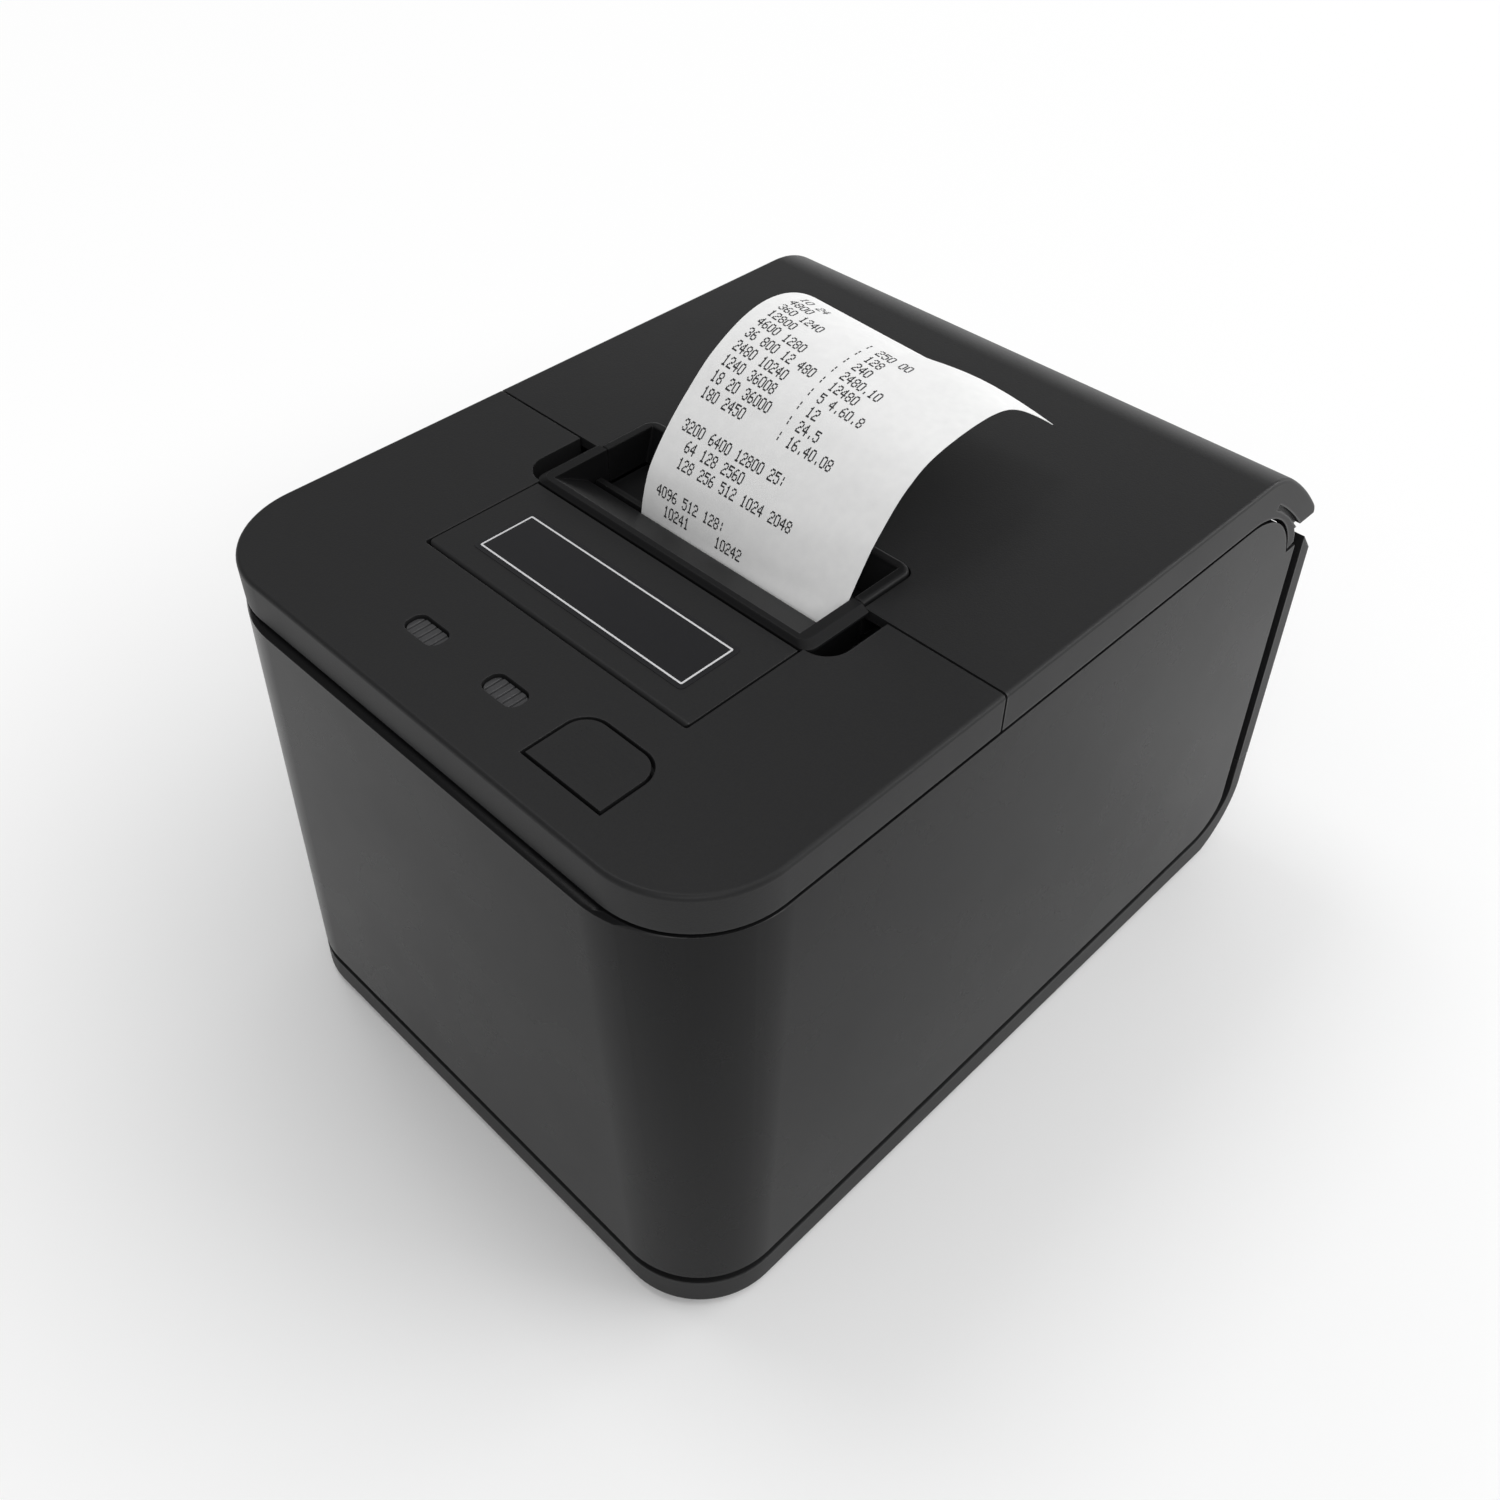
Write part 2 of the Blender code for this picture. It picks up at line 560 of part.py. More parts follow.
def make_body_shell():
    back = REAR - REAR_RIM - REAR_GROOVE
    half = TOP_WIDTH / 2
    step = SEAM_Z - REVEAL
    edge = plan(half, CAP_FRONT, back, CAP_RADIUS)
    rim = plan(half - WALL / 2, CAP_FRONT + WALL / 2, back, CAP_RADIUS - WALL / 2)
    rings = [body_ring(BODY_LOW, 0, back), body_ring(step - LEDGE_DROP, 0, back)]
    rings += [stand("Z", edge, step), stand("Z", rim, step), stand("Z", rim, SEAM_Z)]
    shell = loft("body_shell", rings)
    shelf_low = SEAM_Z - SHELF_THICK
    cut(shell, body_block("inside", BODY_LOW - FAR, shelf_low, WALL, REAR + FAR))
    cut(shell, body_block("opening", shelf_low - FIT, SEAM_Z + FAR, SHELF, REAR + FAR))
    rear_y = (COVER_SEAM, REAR + FAR)
    cut(shell, box("rear_opening", (-half + WALL, half - WALL), rear_y, (shelf_low - FIT, SEAM_Z + FAR)))
    for place in boss_places().values():
        x, y = place
        boss = rod("boss", "Z", place, BOSS_RADIUS, FLOOR_TOP + FIT, BOSS_TOP, BORE_SIDES)
        rib_x = sorted((x, math.copysign(TOP_WIDTH / 2 + FLARE - WALL, x)))
        rib_low = BODY_LOW + LIP_RISE + FIT
        rib = box("rib", rib_x, (y - BOSS_RIB / 2, y + BOSS_RIB / 2), (rib_low, BOSS_TOP - BOSS_RIB))
        join(shell, join(boss, rib))
        cut(shell, rod("bore", "Z", place, SCREW_RADIUS + RUN, 0, BOSS_TOP - WALL, BORE_SIDES))
    cut(shell, heel_trim(RIM_HEIGHT + GROOVE, REAR_RIM + REAR_GROOVE))
    radius = SHOULDER_RADIUS - REVEAL
    curve = arc(SHOULDER, radius, 90, math.degrees(math.asin((HINGE_Z - FIT - SHOULDER[1]) / radius)))
    outside = [(REAR + FAR, HINGE_Z - FIT), (REAR + FAR, TOP + FAR), (SHOULDER[0], TOP + FAR)]
    cut(shell, prism("shoulder", "X", curve + outside, -TOP_WIDTH, TOP_WIDTH))
    return finish(shell, BLACK_SATIN)


def slot_outline():
    """Opening of the front panel: flap, slot and the finger recesses beside it, open at the seam."""
    wide = SLOT_HALF + FINGER_WIDTH
    start = COVER_SEAM - FINGER_LENGTH
    curve = arc((wide - FINGER_RADIUS, start + FINGER_RADIUS), FINGER_RADIUS, -90, 0, 5)
    right = [(SLOT_HALF, CAP_FRONT + FLAP_FRONT), (SLOT_HALF, start), *curve, (wide, COVER_SEAM + FAR)]
    return right + [(-x, y) for x, y in reversed(right)]


def light_places():
    y = CAP_FRONT + LIGHT_Y
    return {"power_lens": (LIGHT_X, y), "error_lens": (LIGHT_X + LIGHT_PITCH, y)}


def button_outline(grow):
    size = (BUTTON_WIDTH + 2 * grow, BUTTON_LENGTH + 2 * grow)
    radius = BUTTON_RADIUS + grow
    return rounded((BUTTON_X, BUTTON_Y), size, (radius, radius, 0, 0), 5)


def post_places():
    """Posts under the front panel that carry the button board, behind the button."""
    y = BUTTON_Y + BUTTON_LENGTH / 2 + BUTTON_FLANGE + FIT + POST_RADIUS
    return [(LIGHT_X, y), (BUTTON_X, y)]


def make_top_panel():
    back = COVER_SEAM - FIT / 2
    half = TOP_WIDTH / 2
    rings = [stand("Z", plan(half, CAP_FRONT, back, CAP_RADIUS), SEAM_Z + FIT)]
    for i in range(FILLET_STEPS + 1):
        turn = math.radians(90 * i / FILLET_STEPS)
        inset = CAP_FILLET * (1 - math.cos(turn))
        z = TOP - CAP_FILLET * (1 - math.sin(turn))
        rings.append(stand("Z", plan(half - inset, CAP_FRONT + inset, back, CAP_RADIUS - inset), z))
    panel = loft("top_panel", rings)
    hollow = plan(half - WALL, CAP_FRONT + WALL, back + FAR, CAP_RADIUS - WALL)
    cut(panel, prism("hollow", "Z", hollow, SEAM_Z - FAR, PANEL_UNDER))
    cut(panel, prism("slot", "Z", slot_outline(), SEAM_Z, TOP + FAR))
    cut(panel, prism("button", "Z", button_outline(FIT), SEAM_Z, TOP + FAR))
    for place in light_places().values():
        window = rounded(place, (LIGHT_WIDTH, LIGHT_LENGTH), LIGHT_RADIUS)
        cut(panel, prism("window", "Z", window, SEAM_Z, TOP + FAR))
    post = (TOP - BOARD_DROP + FIT, PANEL_UNDER + WALL / 2)
    for place in post_places():
        join(panel, rod("post", "Z", place, POST_RADIUS, *post, BORE_SIDES))
    reach = SLOT_HALF + FLAP_PIN_REACH + FIT
    cut(panel, rod("pin_hole", "X", (FLAP_Y, FLAP_Z), FLAP_PIN_RADIUS + RUN, -reach, reach, BORE_SIDES))
    return finish(panel, BLACK_MATT)


def make_lenses():
    top = TOP - LIGHT_SINK
    for name, place in light_places().items():
        outline = rounded(place, (LIGHT_WIDTH - 2 * FIT, LIGHT_LENGTH - 2 * FIT), LIGHT_RADIUS - FIT)
        finish(prism(name, "Z", outline, top - LENS_THICK, top), SMOKED)


def make_button():
    flange_top = PANEL_UNDER - FIT
    button = prism("feed_button", "Z", button_outline(0), flange_top - BUTTON_FLANGE_THICK / 2, TOP)
    flange = prism("flange", "Z", button_outline(BUTTON_FLANGE), flange_top - BUTTON_FLANGE_THICK, flange_top)
    join(button, flange)
    hang("feed_button_travel", (BUTTON_X, BUTTON_Y, TOP), [finish(button, BLACK_MATT)])
    return flange_top - BUTTON_FLANGE_THICK


def make_button_board(button_low):
    board_top = TOP - BOARD_DROP
    y = (CAP_FRONT + WALL + BOARD_MARGIN, post_places()[0][1] + POST_RADIUS)
    x = (LIGHT_X - LIGHT_WIDTH / 2, BUTTON_X + BUTTON_WIDTH / 2)
    board = box("button_board", x, y, (board_top - BOARD_THICK, board_top))
    switch = rounded((BUTTON_X, BUTTON_Y), (SWITCH_SIZE, SWITCH_SIZE), 0)
    switch_top = board_top + SWITCH_HEIGHT
    join(board, prism("switch", "Z", switch, board_top - BOARD_THICK / 2, switch_top))
    plunger = (switch_top - FIT, button_low - BUTTON_TRAVEL - FIT)
    join(board, rod("plunger", "Z", (BUTTON_X, BUTTON_Y), PLUNGER_RADIUS, *plunger, BORE_SIDES))
    lamp = (board_top - BOARD_THICK / 2, TOP - LIGHT_SINK - LENS_THICK - FIT)
    for place in light_places().values():
        join(board, rod("lamp", "Z", place, PLUNGER_RADIUS, *lamp, BORE_SIDES))
    return finish(board, BOARD_GREEN)


def make_cutter_flap():
    front = arc((FLAP_Y, FLAP_Z), FLAP_THICK / 2, 90, 270, 6)
    outline = [*front, (FLAP_REAR - FIT, TOP - FLAP_THICK), (FLAP_REAR - FIT, TOP)]
    flap = prism("cutter_flap", "X", outline, -SLOT_HALF + FIT, SLOT_HALF - FIT)
    reach = SLOT_HALF + FLAP_PIN_REACH
    join(flap, rod("pins", "X", (FLAP_Y, FLAP_Z), FLAP_PIN_RADIUS, -reach, reach, BORE_SIDES))
    hang("cutter_flap_hinge", (0, FLAP_Y, FLAP_Z), [finish(flap, BLACK_MATT)])


def make_slot_lip():
    """Front half of the slot: a bar that slopes down to the tear edge, with a raised rim at each end."""
    low = RAIL_TOP + FIT
    front = FLAP_REAR + FIT
    tear_top = TOP - LIP_FALL
    bar = [(front, low), (TEAR_Y - LIP_BAR, low), (TEAR_Y, tear_top - LIP_BAR / 2), (TEAR_Y, tear_top)]
    bar += [(front + LIP_BAR, TOP + RIM_RISE / 2), (front, TOP + RIM_RISE / 2)]
    outer = SLOT_HALF - FIT
    lip = prism("slot_lip", "X", bar, -outer, outer)
    rim = [(front, low), (COVER_SEAM - FIT / 2, low), (COVER_SEAM - FIT / 2, TOP + RIM_RISE)]
    rim += [(front + LIP_BAR, TOP + RIM_RISE), (front, TOP + RIM_RISE / 2)]
    for side in (-1, 1):
        ends = sorted((side * outer, side * (outer - SLOT_RIM)))
        join(lip, prism("rim", "X", rim, *ends))
    return finish(lip, BLACK_GLOSS)


def cover_outline(inset):
    """The cover from the side: seam rim, rim along the shoulder, barrel at the tail, roll and flat top."""
    turn = math.degrees(math.asin((HINGE_Z - SHOULDER[1]) / (SHOULDER_RADIUS + FIT)))
    ring = arc(SHOULDER, SHOULDER_RADIUS + FIT, 90, turn)
    barrel = arc((HINGE_Y, HINGE_Z), BARREL - inset, -180, 90 - TAIL_ANGLE)
    back = roll_over(inset)
    back.reverse()
    front = COVER_SEAM + FIT / 2
    return [(front, SEAM_Z + FIT), *ring, *barrel, *back[1:], (front, TOP - inset)]


def slit_outline():
    """Slit in the cover's end between its rim along the shoulder and the tail."""
    sides = []
    for depth in (SLIT_DEPTH, SLIT_DEPTH + SLIT):
        first = arc(ROLL_CENTRE, ROLL_RADIUS - depth, 90 - SLIT_ANGLE, 90 - ROLL_ANGLE, 2)
        second = arc(TAIL_CENTRE, TAIL_RADIUS - depth, 90 - ROLL_ANGLE, 90 - TAIL_ANGLE, 4)
        sides.append(first + second[1:])
    return sides[0] + sides[1][::-1]


def ear_places():
    side = TOP_WIDTH / 2 - EAR_INSET
    return {"hinge_pin_left": -side, "hinge_pin_right": side}


def make_paper_cover():
    half = TOP_WIDTH / 2
    rings = []
    for i in range(FILLET_STEPS + 1):
        turn = math.radians(90 * i / FILLET_STEPS)
        x = half - CAP_FILLET * (1 - math.cos(turn))
        rings.append((x, cover_outline(CAP_FILLET * (1 - math.sin(turn)))))
    sections = [stand("X", outline, -x) for x, outline in rings]
    sections += [stand("X", outline, x) for x, outline in reversed(rings)]
    cover = loft("paper_cover", sections)
    inner = roll_over(WALL, (ROLL_ANGLE + TAIL_ANGLE) / 2)
    front = COVER_SEAM - FAR
    hollow = [(front, TOP - WALL), *inner, (inner[-1][0], SEAM_Z - FAR), (front, SEAM_Z - FAR)]
    cut(cover, prism("hollow", "X", hollow, -half + WALL, half - WALL))
    for side in (-1, 1):
        ends = sorted((side * (half + FAR), side * (half - WALL / 2)))
        cut(cover, prism("slit", "X", slit_outline(), *ends))
    notch = rounded((0, COVER_SEAM), (SLOT_WIDTH, 2 * (CAP_FRONT + SLOT_BACK - COVER_SEAM)), 0)
    cut(cover, prism("notch", "Z", notch, SEAM_Z - FAR, TOP + FAR))
    for x in ear_places().values():
        gap = EAR_WIDTH / 2 + FIT
        reach = 2 * BARREL
        z = (HINGE_Z - FAR, HINGE_Z + BARREL + FIT)
        cut(cover, box("ear_gap", (x - gap, x + gap), (HINGE_Y - reach, HINGE_Y + reach), z))
        pin_end = EAR_WIDTH / 2 + PIN_REACH + FIT
        bore = HINGE_PIN_RADIUS + RUN
        cut(cover, rod("bore", "X", (HINGE_Y, HINGE_Z), bore, x - pin_end, x + pin_end, BORE_SIDES))
    near = ear_places()["hinge_pin_right"] - KNUCKLE / 2
    far = near + KNUCKLE
    for ends in ((-half - FAR, -far), (-near, near), (far, half + FAR)):
        y = (HINGE_Y - 2 * BARREL - FIT, REAR + FAR)
        cut(cover, box("tail_end", ends, y, (HINGE_Z - 2 * BARREL, HINGE_Z + FIT)))
    for x, y in holder_screw_places().values():
        boss_low = HOLDER_TOP + FIT
        join(cover, rod("boss", "Z", (x, y), BOSS_RADIUS, boss_low, PANEL_UNDER + WALL / 2, BORE_SIDES))
        cut(cover, rod("bore", "Z", (x, y), SCREW_RADIUS + RUN, boss_low - FAR, PANEL_UNDER, BORE_SIDES))
    return finish(cover, BLACK_MATT)


def holder_screw_places():
    """Screws through the blade holder into the cover, behind the slot."""
    y = CAP_FRONT + SLOT_BACK + BOSS_RADIUS
    return {"holder_screw_left": (-HOLDER_SCREW_X, y), "holder_screw_right": (HOLDER_SCREW_X, y)}


def make_holder_screws():
    screws = []
    for name, place in holder_screw_places().items():
        head = (HOLDER_Z - FIT - SCREW_HEAD, HOLDER_Z - FIT)
        screw = rod(name, "Z", place, SCREW_HEAD_RADIUS, *head, BORE_SIDES)
        shank_top = PANEL_UNDER - WALL / 2
        join(screw, rod("shank", "Z", place, SCREW_RADIUS, head[0] + SCREW_HEAD / 2, shank_top, BORE_SIDES))
        screws.append(finish(screw, STEEL))
    return screws


def make_slot_frame():
    """Rear half of the slot, on the cover: side rims with round ends and a back wall."""
    low = HOLDER_TOP + FIT
    front = COVER_SEAM + FIT / 2
    rear = CAP_FRONT + SLOT_BACK - FIT
    outer = SLOT_HALF - FIT
    wall = [(rear - 2 * SLOT_RIM, low), (rear - SLOT_RIM, low), (rear, TOP), (rear - SLOT_RIM / 2, TOP)]
    frame = prism("slot_frame", "X", wall, -outer, outer)
    crown = arc((rear - RIM_RISE, TOP), RIM_RISE, 0, 90, 4)
    rim = [(front, low), (rear, low), *crown, (front, TOP + RIM_RISE)]
    for side in (-1, 1):
        ends = sorted((side * outer, side * (outer - SLOT_RIM)))
        join(frame, prism("rim", "X", rim, *ends))
    return finish(frame, BLACK_GLOSS)


def make_rear_panel():
    panel = body_block("rear_panel", HEEL_TOP + FIT, PANEL_TOP, 0, REAR)
    ahead = REAR - LIP_REACH
    cut(panel, box("ahead", (-TOP_WIDTH, TOP_WIDTH), (FRONT - FAR, ahead), (0, TOP)))
    cut(panel, body_block("hollow", 0, TOP + FAR, LIP_INSET + LIP, REAR - REAR_WALL), groove_band())
    fall = [(REAR - REAR_RIM, PANEL_TOP), (REAR + REAR_RIM, PANEL_TOP - 2 * PANEL_SLOPE)]
    fall += [(REAR + REAR_RIM, TOP), (REAR - REAR_RIM, TOP)]
    cut(panel, prism("fall", "X", fall, -TOP_WIDTH, TOP_WIDTH))
    root = PANEL_TOP - 2 * LIP_REACH / 3
    top_side = arc((HINGE_Y, HINGE_Z), EAR_RADIUS, 0, 180, ARC_STEPS)
    ear = [(REAR - REAR_WALL / 2, root), (REAR - REAR_WALL / 2, PANEL_TOP - PANEL_SLOPE), *top_side]
    ear += [(HINGE_Y - EAR_RADIUS, PANEL_TOP - PANEL_SLOPE)]
    for x in ear_places().values():
        join(panel, prism("ear", "X", ear, x - EAR_WIDTH / 2, x + EAR_WIDTH / 2))
        bore = HINGE_PIN_RADIUS + RUN
        cut(panel, rod("bore", "X", (HINGE_Y, HINGE_Z), bore, x - EAR_WIDTH, x + EAR_WIDTH, BORE_SIDES))
    for x in (-CONTROL_HALF + STANDOFF_RADIUS, CONTROL_HALF - STANDOFF_RADIUS):
        for z in (CONTROL_LOW + STANDOFF_RADIUS, CONTROL_HIGH - STANDOFF_RADIUS):
            post = (REAR - REAR_WALL - STANDOFF, REAR - REAR_WALL / 2)
            join(panel, rod("standoff", "Y", (x, z), STANDOFF_RADIUS, *post, BORE_SIDES))
    for x, width, height in socket_sizes().values():
        hole = rounded((x, SOCKET_Z), (width + 2 * FIT, height + 2 * FIT), 0)
        cut(panel, prism("hole", "Y", hole, REAR - REAR_WALL - FIT, REAR + FAR))
    hole = rounded((SWITCH_X, SOCKET_Z), (SWITCH_WIDTH + 2 * FIT, SWITCH_RISE + 2 * FIT), 0)
    cut(panel, prism("hole", "Y", hole, REAR - REAR_WALL - FIT, REAR + FAR))
    cut(panel, prism("recess", "Y", switch_flange(FIT), REAR - SWITCH_FLANGE - 2 * FIT, REAR + FAR))
    return finish(panel, BLACK_MATT)


def socket_sizes():
    return {
        "power_inlet": (POWER_X, POWER_SIZE, POWER_SIZE),
        "data_socket": (DATA_X, DATA_WIDTH, DATA_HEIGHT),
        "drawer_socket": (DRAWER_X, DRAWER_WIDTH, DRAWER_HEIGHT),
    }


def make_hinge_pins():
    for name, x in ear_places().items():
        end = EAR_WIDTH / 2 + PIN_REACH
        finish(rod(name, "X", (HINGE_Y, HINGE_Z), HINGE_PIN_RADIUS, x - end, x + end, BORE_SIDES), STEEL)


def make_electronics():
    board = box("control_board", (-CONTROL_HALF, CONTROL_HALF), (CONTROL_Y - BOARD_THICK, CONTROL_Y),
                (CONTROL_LOW, CONTROL_HIGH))
    hole = rounded((SWITCH_X, SOCKET_Z), (SWITCH_WIDTH + 4 * FIT, SWITCH_RISE + 4 * FIT), 0)
    cut(board, prism("switch_gap", "Y", hole, CONTROL_Y - FAR, CONTROL_Y + FAR))
    finish(board, BOARD_GREEN)
    face = REAR - SOCKET_SINK
    looks = {"power_inlet": BLACK_GLOSS, "data_socket": STEEL, "drawer_socket": BLACK_MATT}
    for name, (x, width, height) in socket_sizes().items():
        outline = rounded((x, SOCKET_Z), (width, height), 0)
        socket = prism(name, "Y", outline, CONTROL_Y + FIT, face)
        if name == "power_inlet":
            mouth = circle((x, SOCKET_Z), POWER_BORE)
        else:
            mouth = rounded((x, SOCKET_Z), (width - 2 * SOCKET_WALL, height - 2 * SOCKET_WALL), 0)
        cut(socket, prism("mouth", "Y", mouth, CONTROL_Y + FIT + SOCKET_WALL, face + FAR))
        finish(socket, looks[name])


def switch_flange(grow):
    size = (SWITCH_WIDTH + 2 * (SWITCH_FLANGE + grow), SWITCH_RISE + 2 * (SWITCH_FLANGE + grow))
    return rounded((SWITCH_X, SOCKET_Z), size, SWITCH_FLANGE + grow)


def make_power_switch():
    """A snap-in housing with a rocker that tips on a pin across it."""
    outer = rounded((SWITCH_X, SOCKET_Z), (SWITCH_WIDTH, SWITCH_RISE), 0)
    flange = switch_flange(0)
    inner = rounded((SWITCH_X, SOCKET_Z), (SWITCH_WIDTH - 2 * SOCKET_WALL, SWITCH_RISE - 2 * SOCKET_WALL), 0)
    face = REAR - FIT
    housing = prism("switch_housing", "Y", outer, REAR - SWITCH_DEPTH, face - SWITCH_FLANGE / 2)
    join(housing, prism("flange", "Y", flange, face - SWITCH_FLANGE, face))
    cut(housing, prism("inside", "Y", inner, REAR - SWITCH_DEPTH + SOCKET_WALL, REAR + FAR))
    axis = (face - ROCKER_SWING - ROCKER_THICK / 2, SOCKET_Z)
    pin_half = SWITCH_WIDTH / 2 - SOCKET_WALL / 3
    hole = (SWITCH_X - pin_half - FIT, SWITCH_X + pin_half + FIT)
    cut(housing, rod("pin_hole", "X", axis, ROCKER_PIN + RUN, *hole, BORE_SIDES))
    finish(housing, BLACK_GLOSS)
    half = SWITCH_RISE / 2 - SOCKET_WALL - 4 * FIT
    low = axis[0] - ROCKER_THICK / 2
    high = axis[0] + ROCKER_THICK / 2
    saddle = axis[0] + ROCKER_THICK / 4
    profile = [(low, axis[1] - half / 2), (high, axis[1] - half), (saddle, axis[1]), (high, axis[1] + half)]
    profile += [(low, axis[1] + half / 2)]
    side = SWITCH_WIDTH / 2 - SOCKET_WALL - FIT
    rocker = prism("power_rocker", "X", profile, SWITCH_X - side, SWITCH_X + side)
    join(rocker, rod("pin", "X", axis, ROCKER_PIN, SWITCH_X - pin_half, SWITCH_X + pin_half, BORE_SIDES))
    hang("power_rocker_hinge", (SWITCH_X, *axis), [finish(rocker, BLACK_GLOSS)])


def frame_outline():
    """A side plate of the mechanism, with a shelf for the cutter bed and a notch for a platen bush."""
    front = CAP_FRONT + FRAME_FRONT
    rear = CAP_FRONT + FRAME_REAR
    low = FLOOR_TOP + FIT
    notch = BUSH_RADIUS + FIT
    shelf_end = PLATEN_Y - notch - FRAME_FOOT / 2
    seat = arc((PLATEN_Y, NIP_Z), notch, 180, 360)
    top = NIP_Z + BUSH_RADIUS / 2
    outline = [(front, low), (PLATEN_Y - FRAME_FOOT, low), (rear, NIP_Z / 2), (rear, top)]
    outline += [(PLATEN_Y + notch, top), *reversed(seat), (PLATEN_Y - notch, top)]
    return outline + [(shelf_end, top), (shelf_end, FRAME_TOP), (front, FRAME_TOP)]


def drive_places():
    """Axes of the idler, straight below the platen so that the platen lifts out of mesh, and of the motor."""
    reach = GEAR_MODULE * (PLATEN_TEETH + IDLER_TEETH) / 2
    idler = (PLATEN_Y, NIP_Z - reach)
    return idler, polar(idler, GEAR_MODULE * (IDLER_TEETH + PINION_TEETH) / 2, DRIVE_ANGLE)


def make_frame():
    idler, motor = drive_places()
    half = FRAME_X - FRAME_THICK / 2
    beam_y = PAPER_Y - BEAM_AHEAD
    frame = box("mechanism_frame", (-half - FRAME_THICK / 2, half + FRAME_THICK / 2),
                (beam_y - FRAME_THICK, beam_y), (BEAM_LOW, BEAM_HIGH))
    for side in (-1, 1):
        ends = sorted((side * half, side * (half + FRAME_THICK)))
        join(frame, prism("plate", "X", frame_outline(), *ends))
        foot = sorted((side * (half + FRAME_THICK / 2), side * (half - FRAME_FOOT)))
        y = (CAP_FRONT + FRAME_FRONT + FRAME_THICK, PLATEN_Y - FRAME_FOOT - FRAME_THICK)
        join(frame, box("foot", foot, y, (FLOOR_TOP + FIT, FLOOR_TOP + FIT + FRAME_THICK)))
    reach = half + FRAME_THICK + FIT
    cut(frame, rod("head_pivot_hole", "X", (PIVOT_Y, PIVOT_Z), PIVOT_RADIUS + RUN, -reach, reach, BORE_SIDES))
    for place, radius in ((idler, IDLER_PIN), (motor, MOTOR_SHAFT)):
        cut(frame, rod("hole", "X", place, radius + RUN, -reach, 0, BORE_SIDES))
    return finish(frame, STEEL)


def make_print_head():
    sink = box("heat_sink", (-SINK_HALF, SINK_HALF), (SINK_FRONT, SINK_REAR), (SINK_LOW, SINK_HIGH))
    end = FRAME_X - FRAME_THICK / 2 - FIT
    join(sink, rod("barrel", "X", (PIVOT_Y, PIVOT_Z), PIVOT_BARREL, -end, end))
    cut(sink, rod("bore", "X", (PIVOT_Y, PIVOT_Z), PIVOT_RADIUS + RUN, -TOP_WIDTH, TOP_WIDTH, BORE_SIDES))
    finish(sink, ALUMINIUM)
    strip_z = (NIP_Z - HEAD_HEIGHT / 2, NIP_Z + HEAD_HEIGHT / 2)
    head = box("print_head", (-SINK_HALF, SINK_HALF), (HEAD_FACE - HEAD_STRIP, HEAD_FACE), strip_z)
    finish(head, WHITE_PLASTIC)
    pin_end = FRAME_X + FRAME_THICK
    finish(rod("head_pivot", "X", (PIVOT_Y, PIVOT_Z), PIVOT_RADIUS, -pin_end, pin_end, BORE_SIDES), STEEL)
    hang("head_rock", (0, PIVOT_Y, PIVOT_Z), [sink, head])
    beam = PAPER_Y - BEAM_AHEAD + FIT
    low = PIVOT_Z + PIVOT_BARREL + SPRING_RISE
    near = SINK_FRONT - FIT
    leaf = [(beam, BEAM_HIGH), (beam, BEAM_HIGH - SPRING_FIX), (near - SPRING_THICK, low), (near, low)]
    leaf += [(near, low + SPRING_THICK), (beam + SPRING_THICK, BEAM_HIGH - SPRING_FIX)]
    leaf += [(beam + SPRING_THICK, BEAM_HIGH)]
    finish(prism("head_spring", "X", leaf, -SPRING_WIDTH / 2, SPRING_WIDTH / 2), STEEL)


def gear_outline(centre, teeth, phase, module=GEAR_MODULE):
    """Straight-sided teeth; the phase is the direction of one tooth, in degrees."""
    pitch = 360 / teeth
    radius = module * teeth / 2
    points = []
    for i in range(teeth):
        middle = phase + pitch * i
        for offset, height in TOOTH:
            points.append(polar(centre, radius + height * module, middle + offset * pitch))
    return points


